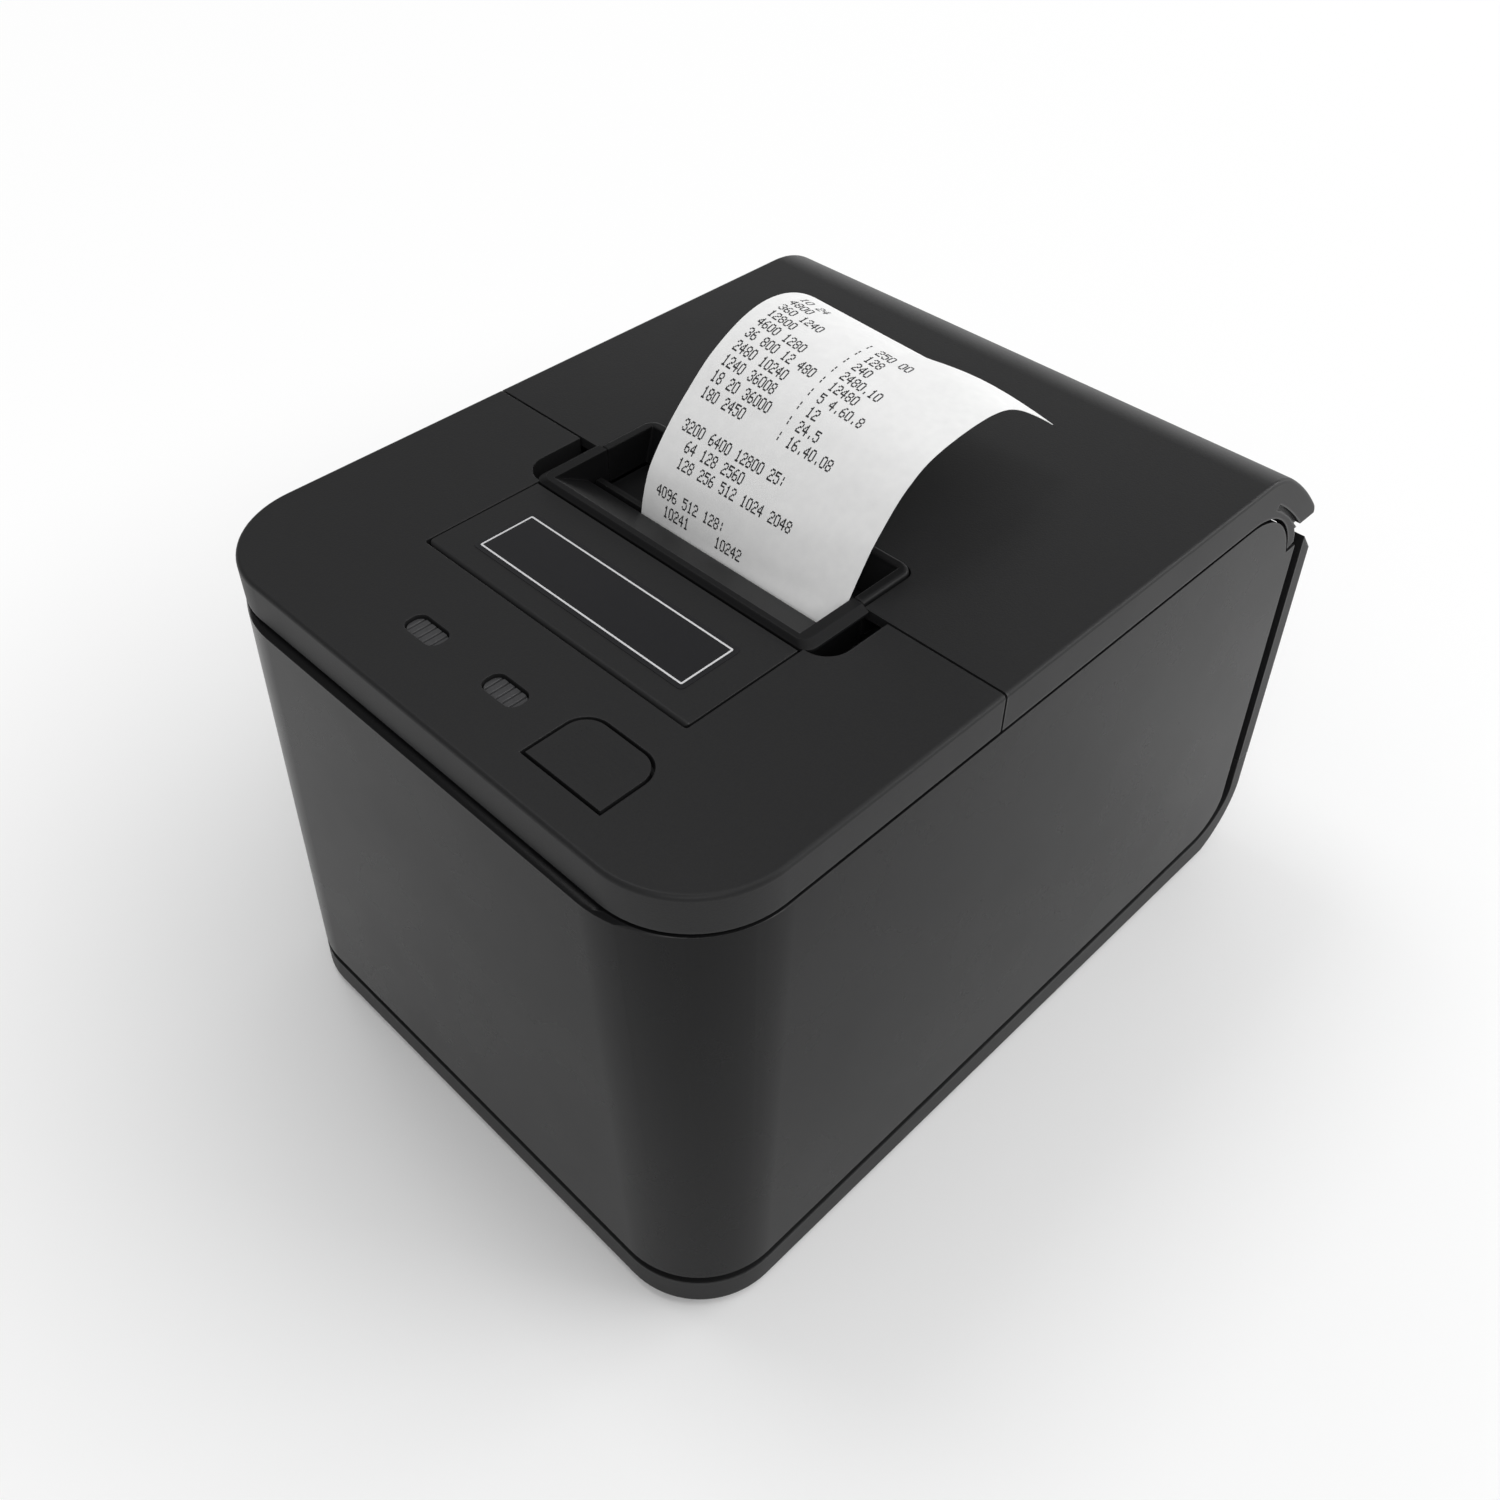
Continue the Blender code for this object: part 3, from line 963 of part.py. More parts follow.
def make_gears():
    """Platen gear, idler and motor pinion, each set so that its teeth stand in its neighbour's gaps."""
    idler, motor = drive_places()
    platen_axis = (PLATEN_Y, NIP_Z)
    x = (GEAR_X - GEAR_WIDTH, GEAR_X)
    platen_gear = prism("platen_gear", "X", gear_outline(platen_axis, PLATEN_TEETH, -90), *x)
    cut(platen_gear, rod("bore", "X", platen_axis, PLATEN_SHAFT + RUN, -FAR - TOP_WIDTH, 0, BORE_SIDES))
    finish(platen_gear, WHITE_PLASTIC)
    idler_phase = 90 + 180 / IDLER_TEETH
    idler_gear = prism("idler_gear", "X", gear_outline(idler, IDLER_TEETH, idler_phase), *x)
    cut(idler_gear, rod("bore", "X", idler, IDLER_PIN + RUN, -TOP_WIDTH, 0, BORE_SIDES))
    hang("idler_spin", (GEAR_X, *idler), [finish(idler_gear, WHITE_PLASTIC)])
    pin_x = (GEAR_X - GEAR_WIDTH - FIT, -FRAME_X + FRAME_THICK)
    finish(rod("idler_pin", "X", idler, IDLER_PIN, *pin_x, BORE_SIDES), STEEL)
    pitch = 360 / IDLER_TEETH
    offset = (idler_phase - DRIVE_ANGLE) % pitch
    pinion_phase = DRIVE_ANGLE + 180 - offset * IDLER_TEETH / PINION_TEETH + 180 / PINION_TEETH
    pinion = prism("motor_pinion", "X", gear_outline(motor, PINION_TEETH, pinion_phase), *x)
    inner_end = -FRAME_X + FRAME_THICK / 2 + FIT + MOTOR_LENGTH / 2
    join(pinion, rod("shaft", "X", motor, MOTOR_SHAFT, GEAR_X - GEAR_WIDTH / 2, inner_end, BORE_SIDES))
    hang("motor_spin", (GEAR_X, *motor), [finish(pinion, STEEL)])
    motor_x = (-FRAME_X + FRAME_THICK / 2 + FIT, -FRAME_X + FRAME_THICK / 2 + FIT + MOTOR_LENGTH)
    body = rod("feed_motor", "X", motor, MOTOR_RADIUS, *motor_x)
    cut(body, rod("bore", "X", motor, MOTOR_SHAFT + RUN, motor_x[0] - FAR, inner_end + FIT, BORE_SIDES))
    finish(body, STEEL)
    return platen_gear


def make_platen():
    axis = (PLATEN_Y, NIP_Z)
    left = GEAR_X - GEAR_WIDTH - FIT
    right = FRAME_X + FRAME_THICK + BUSH_LENGTH / 2
    shaft = finish(rod("platen_shaft", "X", axis, PLATEN_SHAFT, left, right, BORE_SIDES), STEEL)
    rubber = rod("platen_rubber", "X", axis, PLATEN_RADIUS, -PLATEN_END, PLATEN_END)
    cut(rubber, rod("bore", "X", axis, PLATEN_SHAFT + RUN, -TOP_WIDTH, TOP_WIDTH, BORE_SIDES))
    return [shaft, finish(rubber, RUBBER)]


def make_platen_bushes():
    axis = (PLATEN_Y, NIP_Z)
    for name, side in (("platen_bush_left", -1), ("platen_bush_right", 1)):
        ends = sorted((side * (FRAME_X - BUSH_LENGTH / 2), side * (FRAME_X + BUSH_LENGTH / 2)))
        bush = rod(name, "X", axis, BUSH_RADIUS, *ends)
        cut(bush, rod("bore", "X", axis, PLATEN_SHAFT + RUN, -TOP_WIDTH, TOP_WIDTH, BORE_SIDES))
        finish(bush, WHITE_PLASTIC)


def paper_at(z):
    """The receipt's middle line where it leans in the slot."""
    return PAPER_Y + (z - FIXED_Z) * STRIP_TILT


def make_fixed_blade():
    """The blade holder on the cover, its front turned up behind the paper, and the blade under it."""
    behind = PAPER_THICK / 2 + 2 * FIT
    lip_top = TOP - HOLDER_LIP
    lip_y = paper_at(lip_top) + behind
    rear = CAP_FRONT + HOLDER_REACH
    outline = [(paper_at(HOLDER_Z) + behind, HOLDER_Z), (rear, HOLDER_Z), (rear, HOLDER_TOP)]
    outline += [(lip_y + HOLDER_THICK, HOLDER_TOP), (lip_y + HOLDER_THICK, lip_top), (lip_y, lip_top)]
    holder = prism("blade_holder", "X", outline, -FIXED_HALF, FIXED_HALF)
    for place in holder_screw_places().values():
        cut(holder, rod("hole", "Z", place, SCREW_RADIUS + RUN, HOLDER_Z - FAR, TOP, BORE_SIDES))
    edge = PAPER_Y + 3 * FIT
    y = (edge, edge + FIXED_LENGTH)
    blade = box("fixed_blade", (-FIXED_HALF, FIXED_HALF), y, (FIXED_Z, FIXED_Z + BLADE_THICK))
    return [finish(holder, BLACK_GLOSS), finish(blade, STEEL)]


def strip_line(share):
    """The receipt from the side, at a share of its width: straight out of the slot, then the curl."""
    lean = math.radians(CURL_LEAN)
    start = (paper_at(TOP - STRIP_LOW), TOP - STRIP_LOW)
    rise = (start[0] + STRIP_RISE * math.cos(lean), start[1] + STRIP_RISE * math.sin(lean))
    line = [start, rise]
    for left, right in zip(STRIP_LEFT, STRIP_RIGHT):
        line.append(tuple(r + (1 - share) * a + share * b for r, a, b in zip(rise, left, right)))
    return line


def thicken(line, thickness):
    """A closed outline half the thickness to each side of an open line."""
    sides = ([], [])
    for i, (y, z) in enumerate(line):
        before = line[max(i - 1, 0)]
        after = line[min(i + 1, len(line) - 1)]
        reach = math.dist(before, after)
        across = ((before[1] - after[1]) / reach, (after[0] - before[0]) / reach)
        for side, sign in zip(sides, (0.5, -0.5)):
            side.append((y + sign * thickness * across[0], z + sign * thickness * across[1]))
    return sides[0] + sides[1][::-1]


def make_receipt():
    rings = []
    for i in range(STRIP_STEPS):
        share = i / (STRIP_STEPS - 1)
        rings.append(stand("X", thicken(strip_line(share), PAPER_THICK), PAPER_LEFT + share * PAPER_WIDTH))
    return finish(loft("receipt", rings), PAPER)


def web_foot():
    """Where the paper leaves the roll: the line from the nip that touches the roll's front side."""
    start = (PAPER_Y, SINK_LOW)
    away = (ROLL_Y - start[0], ROLL_Z - start[1])
    reach = math.hypot(*away)
    radius = ROLL_SIZE + FIT + PAPER_THICK / 2
    turn = math.atan2(away[1], away[0]) - math.asin(radius / reach)
    length = math.sqrt(reach ** 2 - radius ** 2)
    return start, (start[0] + length * math.cos(turn), start[1] + length * math.sin(turn))


def make_paper():
    roll_axis = (ROLL_Y, ROLL_Z)
    x = (PAPER_LEFT, PAPER_RIGHT)
    roll = rod("paper_roll", "X", roll_axis, ROLL_SIZE, *x, 32)
    cut(roll, rod("bore", "X", roll_axis, CORE_RADIUS + FIT, -TOP_WIDTH, TOP_WIDTH))
    core = rod("roll_core", "X", roll_axis, CORE_RADIUS, *x)
    cut(core, rod("bore", "X", roll_axis, CORE_BORE, -TOP_WIDTH, TOP_WIDTH))
    hang("roll_spin", (PAPER_SHIFT, ROLL_Y, ROLL_Z), [finish(roll, PAPER), finish(core, CARD)])
    start, foot = web_foot()
    half = PAPER_THICK / 2
    lean = math.atan2(start[1] - foot[1], start[0] - foot[0])
    side = (half * math.sin(lean), -half * math.cos(lean))
    top = NIP_Z + HEAD_HEIGHT / 2
    outline = [(foot[0] + side[0], foot[1] + side[1]), (start[0] + half, start[1]), (start[0] + half, top)]
    outline += [(start[0] - half, top), (start[0] - half, start[1]), (foot[0] - side[0], foot[1] - side[1])]
    finish(prism("paper_web", "X", outline, *x), PAPER)


def bucket_outline(grow, front_top, rear_top):
    """Trough from the side: a front wall along the paper's path, a round bottom and an upright rear wall."""
    start, foot = web_foot()
    lean = math.degrees(math.atan2(start[1] - foot[1], start[0] - foot[0]))
    centre = (ROLL_Y, BUCKET_Z)
    radius = BUCKET_RADIUS + grow
    bottom = arc(centre, radius, lean + 90, 360, 2 * ARC_STEPS)
    low = bottom[0]
    rise = (front_top - low[1]) / math.tan(math.radians(lean))
    return [(low[0] + rise, front_top), *bottom, (ROLL_Y + radius, rear_top)]


def make_bucket():
    right = PAPER_RIGHT + BUCKET_SIDE
    outer = bucket_outline(BUCKET_WALL, BUCKET_FRONT_TOP, BUCKET_TOP)
    bucket = prism("paper_bucket", "X", outer, -BUCKET_LEFT - BUCKET_WALL, right + BUCKET_WALL)
    leg = (-BUCKET_LEFT + BUCKET_WALL, right - BUCKET_WALL)
    y = (ROLL_Y - BUCKET_RADIUS / 2, ROLL_Y + BUCKET_RADIUS / 2)
    join(bucket, box("leg", leg, y, (FLOOR_TOP + FIT, BUCKET_Z - BUCKET_RADIUS / 2)))
    hollow = bucket_outline(0, BUCKET_FRONT_TOP + FAR, BUCKET_TOP + FAR)
    cut(bucket, prism("hollow", "X", hollow, -BUCKET_LEFT, right))
    finish(bucket, BLACK_MATT)
    edge = PAPER_LEFT - BUCKET_SIDE
    side = bucket_outline(-FIT, BUCKET_FRONT_TOP - GUIDE_DROP, BUCKET_TOP - GUIDE_DROP)
    finish(prism("paper_guide", "X", side, edge - GUIDE_THICK, edge), GREY_PLASTIC)


def make_cutter_bed():
    y = (CAP_FRONT + BED_FRONT, SINK_FRONT - BLADE_BACK)
    outer = FRAME_X + FRAME_THICK
    bed = box("cutter_bed", (-outer, outer), y, (BED_TOP - BED_THICK, BED_TOP))
    for side in (-1, 1):
        start = BLADE_HALF + FIT
        ends = sorted((side * start, side * (start + RAIL)))
        join(bed, box("rail", ends, y, (BED_TOP - BED_THICK / 2, RAIL_TOP)))
    centre = (CUTTER_X, CUTTER_Y)
    cut(bed, rod("hole", "Z", centre, CUTTER_SHAFT + RUN, BED_TOP - FAR, BED_TOP + FAR, BORE_SIDES))
    finish(bed, GREY_PLASTIC)
    motor_top = BED_TOP - BED_THICK - FIT
    motor = rod("cutter_motor", "Z", centre, CUTTER_MOTOR_RADIUS, motor_top - CUTTER_MOTOR_LENGTH, motor_top)
    bore_low = motor_top - CUTTER_MOTOR_LENGTH / 3
    cut(motor, rod("bore", "Z", centre, CUTTER_SHAFT + RUN, bore_low, motor_top + FAR, BORE_SIDES))
    finish(motor, STEEL)
    return bore_low + FIT


def blade_outline():
    """The moving blade from above: hollow cutting edge at the rear, toothed bay for the gear in front."""
    edge = PAPER_Y - BLADE_BACK
    front = edge - BLADE_LENGTH
    bay_right = CUTTER_X + GEAR_MODULE * (CUTTER_TEETH / 2 + 2)
    bay_rear = CUTTER_Y + GEAR_MODULE * (CUTTER_TEETH / 2 + 2)
    pitch = math.pi * GEAR_MODULE
    teeth = []
    for i in range(RACK_TEETH):
        middle = CUTTER_Y + pitch * (i - RACK_TEETH / 2)
        for offset, height in TOOTH:
            teeth.append((RACK_X + height * GEAR_MODULE, middle + offset * pitch))
    root = RACK_X - GEAR_MODULE
    bay = [(root, bay_rear), (bay_right, bay_rear), (bay_right, front)]
    low_teeth = [(x, max(y, front)) for x, y in teeth]
    return [(-BLADE_HALF, front), (root, front), *low_teeth, *bay, (BLADE_HALF, front), (BLADE_HALF, edge),
            (0, edge - BLADE_HOLLOW), (-BLADE_HALF, edge)]


def make_moving_blade(shaft_low):
    blade = prism("moving_blade", "Z", blade_outline(), BLADE_Z, BLADE_Z + BLADE_THICK)
    hang("blade_slide", (0, PAPER_Y - BLADE_BACK, BLADE_Z), [finish(blade, STEEL)])
    centre = (CUTTER_X, CUTTER_Y)
    gear_top = BLADE_Z + BLADE_THICK + RAIL_RISE / 2
    gear = prism("cutter_gear", "Z", gear_outline(centre, CUTTER_TEETH, 180), BLADE_Z, gear_top)
    join(gear, rod("knob", "Z", centre, KNOB_RADIUS, gear_top - FIT, gear_top + KNOB_THICK))
    join(gear, rod("shaft", "Z", centre, CUTTER_SHAFT, shaft_low, gear_top, BORE_SIDES))
    hang("cutter_gear_spin", (*centre, BLADE_Z), [finish(gear, WHITE_PLASTIC)])


for old in list(bpy.data.objects):
    bpy.data.objects.remove(old, do_unlink=True)

make_base_tray()
make_feet()
make_base_screws()
make_body_shell()
make_rear_panel()
make_hinge_pins()
make_electronics()
make_power_switch()
make_top_panel()
make_lenses()
make_button_board(make_button())
make_cutter_flap()
make_slot_lip()
make_frame()
make_platen_bushes()
make_print_head()
make_bucket()
make_paper()
make_moving_blade(make_cutter_bed())
hang("platen_spin", (0, PLATEN_Y, NIP_Z), [*make_platen(), make_gears()])
cover_pieces = [make_paper_cover(), make_slot_frame(), make_receipt()]
cover_pieces += make_holder_screws() + make_fixed_blade()
hang("cover_hinge", (0, HINGE_Y, HINGE_Z), cover_pieces)
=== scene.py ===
"""Looks of the receipt printer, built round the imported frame.

Finer casing and fittings, the paper strip, materials, stage, camera and light. Metres, +Z up, +X to the
printer's right, front facing -Y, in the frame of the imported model.
"""

import json
import math

import bmesh
import bpy
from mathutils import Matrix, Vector

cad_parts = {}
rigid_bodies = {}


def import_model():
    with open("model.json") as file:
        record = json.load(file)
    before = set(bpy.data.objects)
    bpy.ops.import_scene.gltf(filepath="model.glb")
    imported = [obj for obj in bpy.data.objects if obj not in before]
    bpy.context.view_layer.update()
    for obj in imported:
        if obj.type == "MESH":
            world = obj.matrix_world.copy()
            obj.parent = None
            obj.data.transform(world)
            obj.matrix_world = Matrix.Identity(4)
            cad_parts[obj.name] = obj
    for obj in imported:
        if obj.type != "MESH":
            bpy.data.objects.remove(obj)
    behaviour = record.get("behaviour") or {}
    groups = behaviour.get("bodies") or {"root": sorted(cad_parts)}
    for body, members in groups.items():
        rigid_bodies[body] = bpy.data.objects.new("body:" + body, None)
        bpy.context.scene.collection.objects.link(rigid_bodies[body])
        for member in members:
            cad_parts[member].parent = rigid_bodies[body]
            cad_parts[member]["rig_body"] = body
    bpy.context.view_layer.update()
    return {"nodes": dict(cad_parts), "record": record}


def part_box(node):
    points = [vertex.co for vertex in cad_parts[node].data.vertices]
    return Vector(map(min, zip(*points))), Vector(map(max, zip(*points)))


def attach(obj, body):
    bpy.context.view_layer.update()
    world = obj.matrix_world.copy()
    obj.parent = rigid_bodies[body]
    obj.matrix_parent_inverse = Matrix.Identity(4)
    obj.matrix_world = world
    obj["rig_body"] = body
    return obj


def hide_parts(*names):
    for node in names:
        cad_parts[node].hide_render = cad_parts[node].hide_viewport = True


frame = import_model()
NODES = frame["nodes"]
MATERIAL_SLOTS = {entry["node"]: entry["material_slot"] for entry in frame["record"]["subparts"]}

# Casing, in the sizes of the frame
FIT = 0.0003
LINE = 0.0005               # open lines round the fittings of the top
TOP_WIDTH = 0.152
DEPTH = 0.2115
TOP = 0.136
CORNER_RADIUS = 0.021
SEAM_RADIUS = 0.0270
HEEL_RADIUS = 0.021
FLARE = 0.002
FRONT_FLARE = 0.0014
LEDGE = 0.0016
LEDGE_DROP = 0.0008
REVEAL = 0.0006
WALL = 0.0025
CAP_HEIGHT = 0.0098
CAP_RADIUS = 0.0230
CAP_FILLET = 0.0011
PANEL_LENGTH = 0.0825
SHELF = 0.006
SHELF_THICK = 0.0025
FLOOR = 0.003
FLOOR_REACH = 40.0          # half the width of the pale floor that the printer stands on
EDGE = 0.0015
RIM_HEIGHT = 0.0085
GROOVE = 0.0025
REAR_RIM = 0.0045
REAR_GROOVE = 0.0045
LIP = 0.0016
LIP_RISE = 0.006
LIP_REACH = 0.016
REAR_WALL = 0.003
HEEL_TOP = 0.032
PANEL_TOP = 0.1085
PANEL_SLOPE = 0.0055
FOOT_DROP = 0.001
# Cover, hinge and shoulder
ROLL_START = 0.032
ROLL_RADIUS = 0.022
ROLL_ANGLE = 36
TAIL_RADIUS = 0.100
TAIL_ANGLE = 48.5
BARREL = 0.0045
SHOULDER_RADIUS = 0.023
SHOULDER_BACK = 0.0351
SLIT = 0.0013
SLIT_DEPTH = 0.0063
SLIT_ANGLE = 29
KNUCKLE = 0.020
BAND_END = 14
BAND_GAP = 0.8              # degrees that the shoulder is cut past the end of the band
BAND = ((14, 0.0028), (20, 0.0030), (30, 0.0026), (40, 0.0020), (48, 0.0017), (60, 0.0019), (70, 0.0020))
RIBS = (-0.055, -0.0275, 0.0, 0.0275, 0.055)
RIB = 0.0012
RIB_DEPTH = 0.0025
RIB_START = 0.033
EAR_X = 0.050
EAR_WIDTH = 0.006
EAR_RADIUS = 0.0036
PIN_BORE = 0.0017
# Rear panel
SOCKET_Z = 0.058
# Place across, width and height of the holes in the rear panel, the switch last
SOCKETS = ((-0.034, 0.011, 0.011), (-0.008, 0.0124, 0.0112), (0.018, 0.0134, 0.0118), (0.046, 0.013, 0.0195))
SWITCH_FLANGE = (0.016, 0.0225)
SWITCH_CORNER = 0.0018
SWITCH_SINK = 0.0021
# Feet and screws in the base
FOOT_X = 0.053
FOOT_Y = (-0.08375, 0.07175)
FOOT_RECESS = (0.0073, 0.0031)      # radius and top
SCREW_X = 0.066
SCREW_Y = (0.0485, 0.1525)
SCREW_SINK = (0.003, 0.0024)
# Slot, flap and finger recesses
SLOT_HALF = 0.040
SLOT_BACK = 0.0990
SLOT_RIM = 0.0025
RIM_RISE = 0.0012
LIP_BAR = 0.0023
LIP_FLANK = 0.0018
LIP_CORNER = 0.0026
LIP_ROUND = 0.0009
FLANK_FALL = 0.0006
LIP_LOW = 0.1267
PATH = (0.0759, 0.1248)     # where the paper leaves the print head, and its lean from there
PATH_LEAN = 15
TEAR_DEPTH = 0.0066
TEAR_GAP = 0.0008
TEAR_DROP = 0.0042
SLOT_CORNER = 0.0030
FLAP_FRONT = 0.0337
FLAP_LENGTH = 0.0305
FLAP_THICK = 0.0024
FLAP_CORNER = 0.0018
SLOT_NOSE = 0.0007          # corners of the slot in front of the flap, small enough for it to stand up
FINGER_WIDTH = 0.0065
FINGER_LENGTH = 0.0175
FINGER_RADIUS = 0.006
SKIRT = 0.0012              # wall that hangs down round each finger recess
SKIRT_END = 0.1270
BUTTON_GAP = 0.00075
# Windows, button and label
LIGHT_X = (-0.0163, 0.0083)
LIGHT_Y = 0.0168
LIGHT_SIZE = (0.0104, 0.0054)
LIGHT_RADIUS = 0.0022
LENS_DROP = 0.0008
LENS_THICK = 0.0022
LENS_RIBS = 5
LENS_PITCH = 0.0018
BUTTON_X = 0.034
BUTTON_FRONT = 0.0091
BUTTON_SIZE = (0.0205, 0.0148)
BUTTON_RADIUS = 0.005
BUTTON_FLANGE = 0.001
FLANGE_THICK = 0.0015
BUTTON_RIBS = 9
BUTTON_PITCH = 0.0011
BUTTON_MARGIN = 0.0030
BUTTON_RIB = 0.0072         # half the length of a rib
VEE = 0.0004                # half the width of the grooves between ribs
LABEL_Y = 0.0482
LABEL_SIZE = (0.0638, 0.0164)
LABEL_CORNER = 0.0012
LABEL_THICK = 0.0001
LABEL_MARGIN = 0.00115
LABEL_BAND = 0.00042
BAND_CORNERS = (0.0004, 0.0002)
LAYER = 0.00001             # keeps thin layers apart
# Paper strip
PAPER_LEFT = -0.02065
PAPER_WIDTH = 0.0575
STRIP_THICK = 0.00012
STRIP_START = (-0.02562, 0.1294)
STRIP_RISE = (-0.02521, 0.13095)
# The curled strip's two edges, behind and above its straight run
STRIP_LEFT = (
    (0.0016, 0.0046), (0.0042, 0.0103), (0.0076, 0.0159), (0.0120, 0.0215),
    (0.0165, 0.0261), (0.0212, 0.0300), (0.0260, 0.0329), (0.0308, 0.0351),
    (0.0355, 0.0364), (0.0402, 0.0367), (0.0450, 0.0360), (0.0498, 0.0342),
    (0.0545, 0.0313), (0.0590, 0.0275), (0.0632, 0.0233), (0.0668, 0.0189),
)
STRIP_RIGHT = (
    (0.0024, 0.0033), (0.0060, 0.0082), (0.0100, 0.0133), (0.0140, 0.0184),
    (0.0176, 0.0227), (0.0212, 0.0258), (0.0252, 0.0279), (0.0296, 0.0291),
    (0.0350, 0.0299), (0.0410, 0.0303), (0.0465, 0.0301), (0.0515, 0.0290),
    (0.0562, 0.0267), (0.0610, 0.0235), (0.0654, 0.0203), (0.0695, 0.0171),
)
STRIP_STEPS = 4             # fine steps between two of these points
STRIP_RINGS = 24            # lines across the strip
END_LIFT = 0.0018
LIFT_FROM = (0.55, 0.6)     # where the lift begins, as shares of the width and the length
LIFT_RAMP = 0.3
CREASE = 0.0012
CREASE_AT = (11.5, 17)      # fine steps up the strip at its left and right edge
CREASE_BELOW = 8
CREASE_ABOVE = 11
CREASE_ROUND = 0.7
CREASE_RISE = 0.4

# Roll, screws, feet and rocker
CORE_RADIUS = 0.009
SCREW_RADIUS = 0.0014
SCREW_SLOT = 0.0016
SCREW_ARM = SCREW_SLOT / 5
SCREW_HEAD = ((0.0018, 0.0), (0.0024, 0.0002), (0.0028, 0.0006), (0.0028, 0.0011), (0.0014, 0.0011))
FOOT_TREAD = ((0.0054, 0.0), (0.0062, 0.00015), (0.0068, 0.0006), (0.0070, 0.0013))
ROCKER_SADDLE = 0.10275
ROCKER_SLOPE = 0.204
ROCKER_MARK = 0.0040
MARK_BAR = (0.0003, 0.0014)
MARK_RING = (0.0010, 0.0015)
MARK_STEPS = 32
MARK_LIFT = 0.00004
# On the control board, each with its place across and its height: chips and wire sockets with their size,
# capacitors with radius and length
CHIPS = (
    (-0.012, 0.0740, 0.016, 0.014), (0.022, 0.0840, 0.010, 0.006), (-0.036, 0.0850, 0.008, 0.005),
    (0.012, 0.0500, 0.008, 0.005), (-0.034, 0.0560, 0.006, 0.005),
)
PLUGS = ((-0.044, 0.0940, 0.012), (-0.010, 0.0940, 0.016), (0.018, 0.0940, 0.010), (0.044, 0.0940, 0.012))
CANS = ((0.036, 0.0860, 0.0040, 0.0080), (0.047, 0.0840, 0.0032, 0.0070), (-0.047, 0.0760, 0.0032, 0.0070))
CAN_FOOT = ((1.0, 0.0), (1.0, 0.0012), (0.92, 0.0015), (1.0, 0.0018))   # share of the radius, height
CAN_TOP = (0.88, 0.0004)
CHIP_SPAN = (0.0018, 0.0003)
LEG_ROOM = 0.0013
LEG_PITCH = 0.0012
LEG_HALF = 0.00025
LEG_REACH = 0.0012
LEG_RISE = 0.0007
PLUG_HALF = 0.0026
PLUG_RISE = 0.0062
PLUG_PITCH = 0.002
PLUG_PIN = (0.0003, 0.0004)
PIN_SPAN = (0.0068, 0.006)
# In the sockets, with ends measured back from the mouth
CONTACT_BACK = 0.0014
INLET_PIN = ((0.001, 0.0016), (0.0004, 0.0010))
TONGUE = (0.0056, 0.0032)
TONGUE_CORNER = 0.0004
TONGUE_END = 0.0012
PLATE_LANES = (-0.0013, 0.0013)
PLATE_HALF = 0.0004
PLATE_SPAN = (0.0016, 0.0018)
PLATE_END = 0.0015
WIRES = 6
WIRE_PITCH = 0.0013
WIRE_HALF = 0.00025
WIRE_SPAN = (0.0026, 0.0031)
WIRE_END = 0.002

# Printed rows of plain numbers, from the slot upwards; a blank row is empty
ROW_START = 0.0047
ROW_PITCH = 0.00372
CELL = (0.00155, 0.0029)
DOTS = (5, 7)
DOT_FILL = (0.82, 0.92)     # share of a cell that its dots take up
INK_LIFT = 0.00003
SPREAD = 0.00003            # how far the ink of a dot runs
MARGIN = 0.0035
ROWS = (
    "  10241     10242",
    "4096 512 128:",
    "",
    "  128 256 512 1024 2048",
    "  64 128 2560",
    "3200 6400 12800 25:",
    "",
    "180 2450      : 16.40.08",
    "18 20 36000   : 24.5",
    "1240 36008    : 12",
    "2480 10240    : 5 4.60.8",
    "36 800 12 480 : 12480",
    "4600 1280     : 2480.10",
    "12800         : 240",
    "360 1240      : 128",
    "4800          : 250 00",
    "10 24",
)
# Dot rows of the figures, from the top, five dots wide
FIGURES = {
    "0": (14, 17, 17, 17, 17, 17, 14), "1": (4, 12, 4, 4, 4, 4, 14), "2": (14, 17, 1, 6, 8, 16, 31),
    "3": (14, 17, 1, 6, 1, 17, 14), "4": (2, 6, 10, 18, 31, 2, 2), "5": (31, 16, 30, 1, 1, 17, 14),
    "6": (6, 8, 16, 30, 17, 17, 14), "7": (31, 1, 2, 4, 8, 8, 8), "8": (14, 17, 17, 14, 17, 17, 14),
    "9": (14, 17, 17, 15, 1, 2, 12), ":": (0, 4, 4, 0, 4, 4, 0), ".": (0, 0, 0, 0, 0, 4, 4),
}

FRONT = -DEPTH / 2
REAR = DEPTH / 2
SEAM_Z = TOP - CAP_HEIGHT
CAP_FRONT = FRONT + FRONT_FLARE + LEDGE
COVER_SEAM = CAP_FRONT + PANEL_LENGTH
RIM_TOP = FOOT_DROP + RIM_HEIGHT
BODY_LOW = RIM_TOP + GROOVE
LIP_INSET = WALL + FIT
UNDER = TOP - WALL
FLAP_Y = CAP_FRONT + FLAP_FRONT + FIT + FLAP_THICK / 2
FLAP_REAR = CAP_FRONT + FLAP_FRONT + FLAP_LENGTH
BUTTON_Y = CAP_FRONT + BUTTON_FRONT + BUTTON_SIZE[1] / 2
FAR = 0.05

# Steps of the curves
CORNER_STEPS = 20
FILLET_STEPS = 7
ARC_STEPS = 20
ACROSS = (-TOP_WIDTH, TOP_WIDTH)    # wider than the printer, for cutting right through


def polar(centre, radius, degrees):
    across, up = radius if isinstance(radius, tuple) else (radius, radius)
    turn = math.radians(degrees)
    return centre[0] + across * math.cos(turn), centre[1] + up * math.sin(turn)


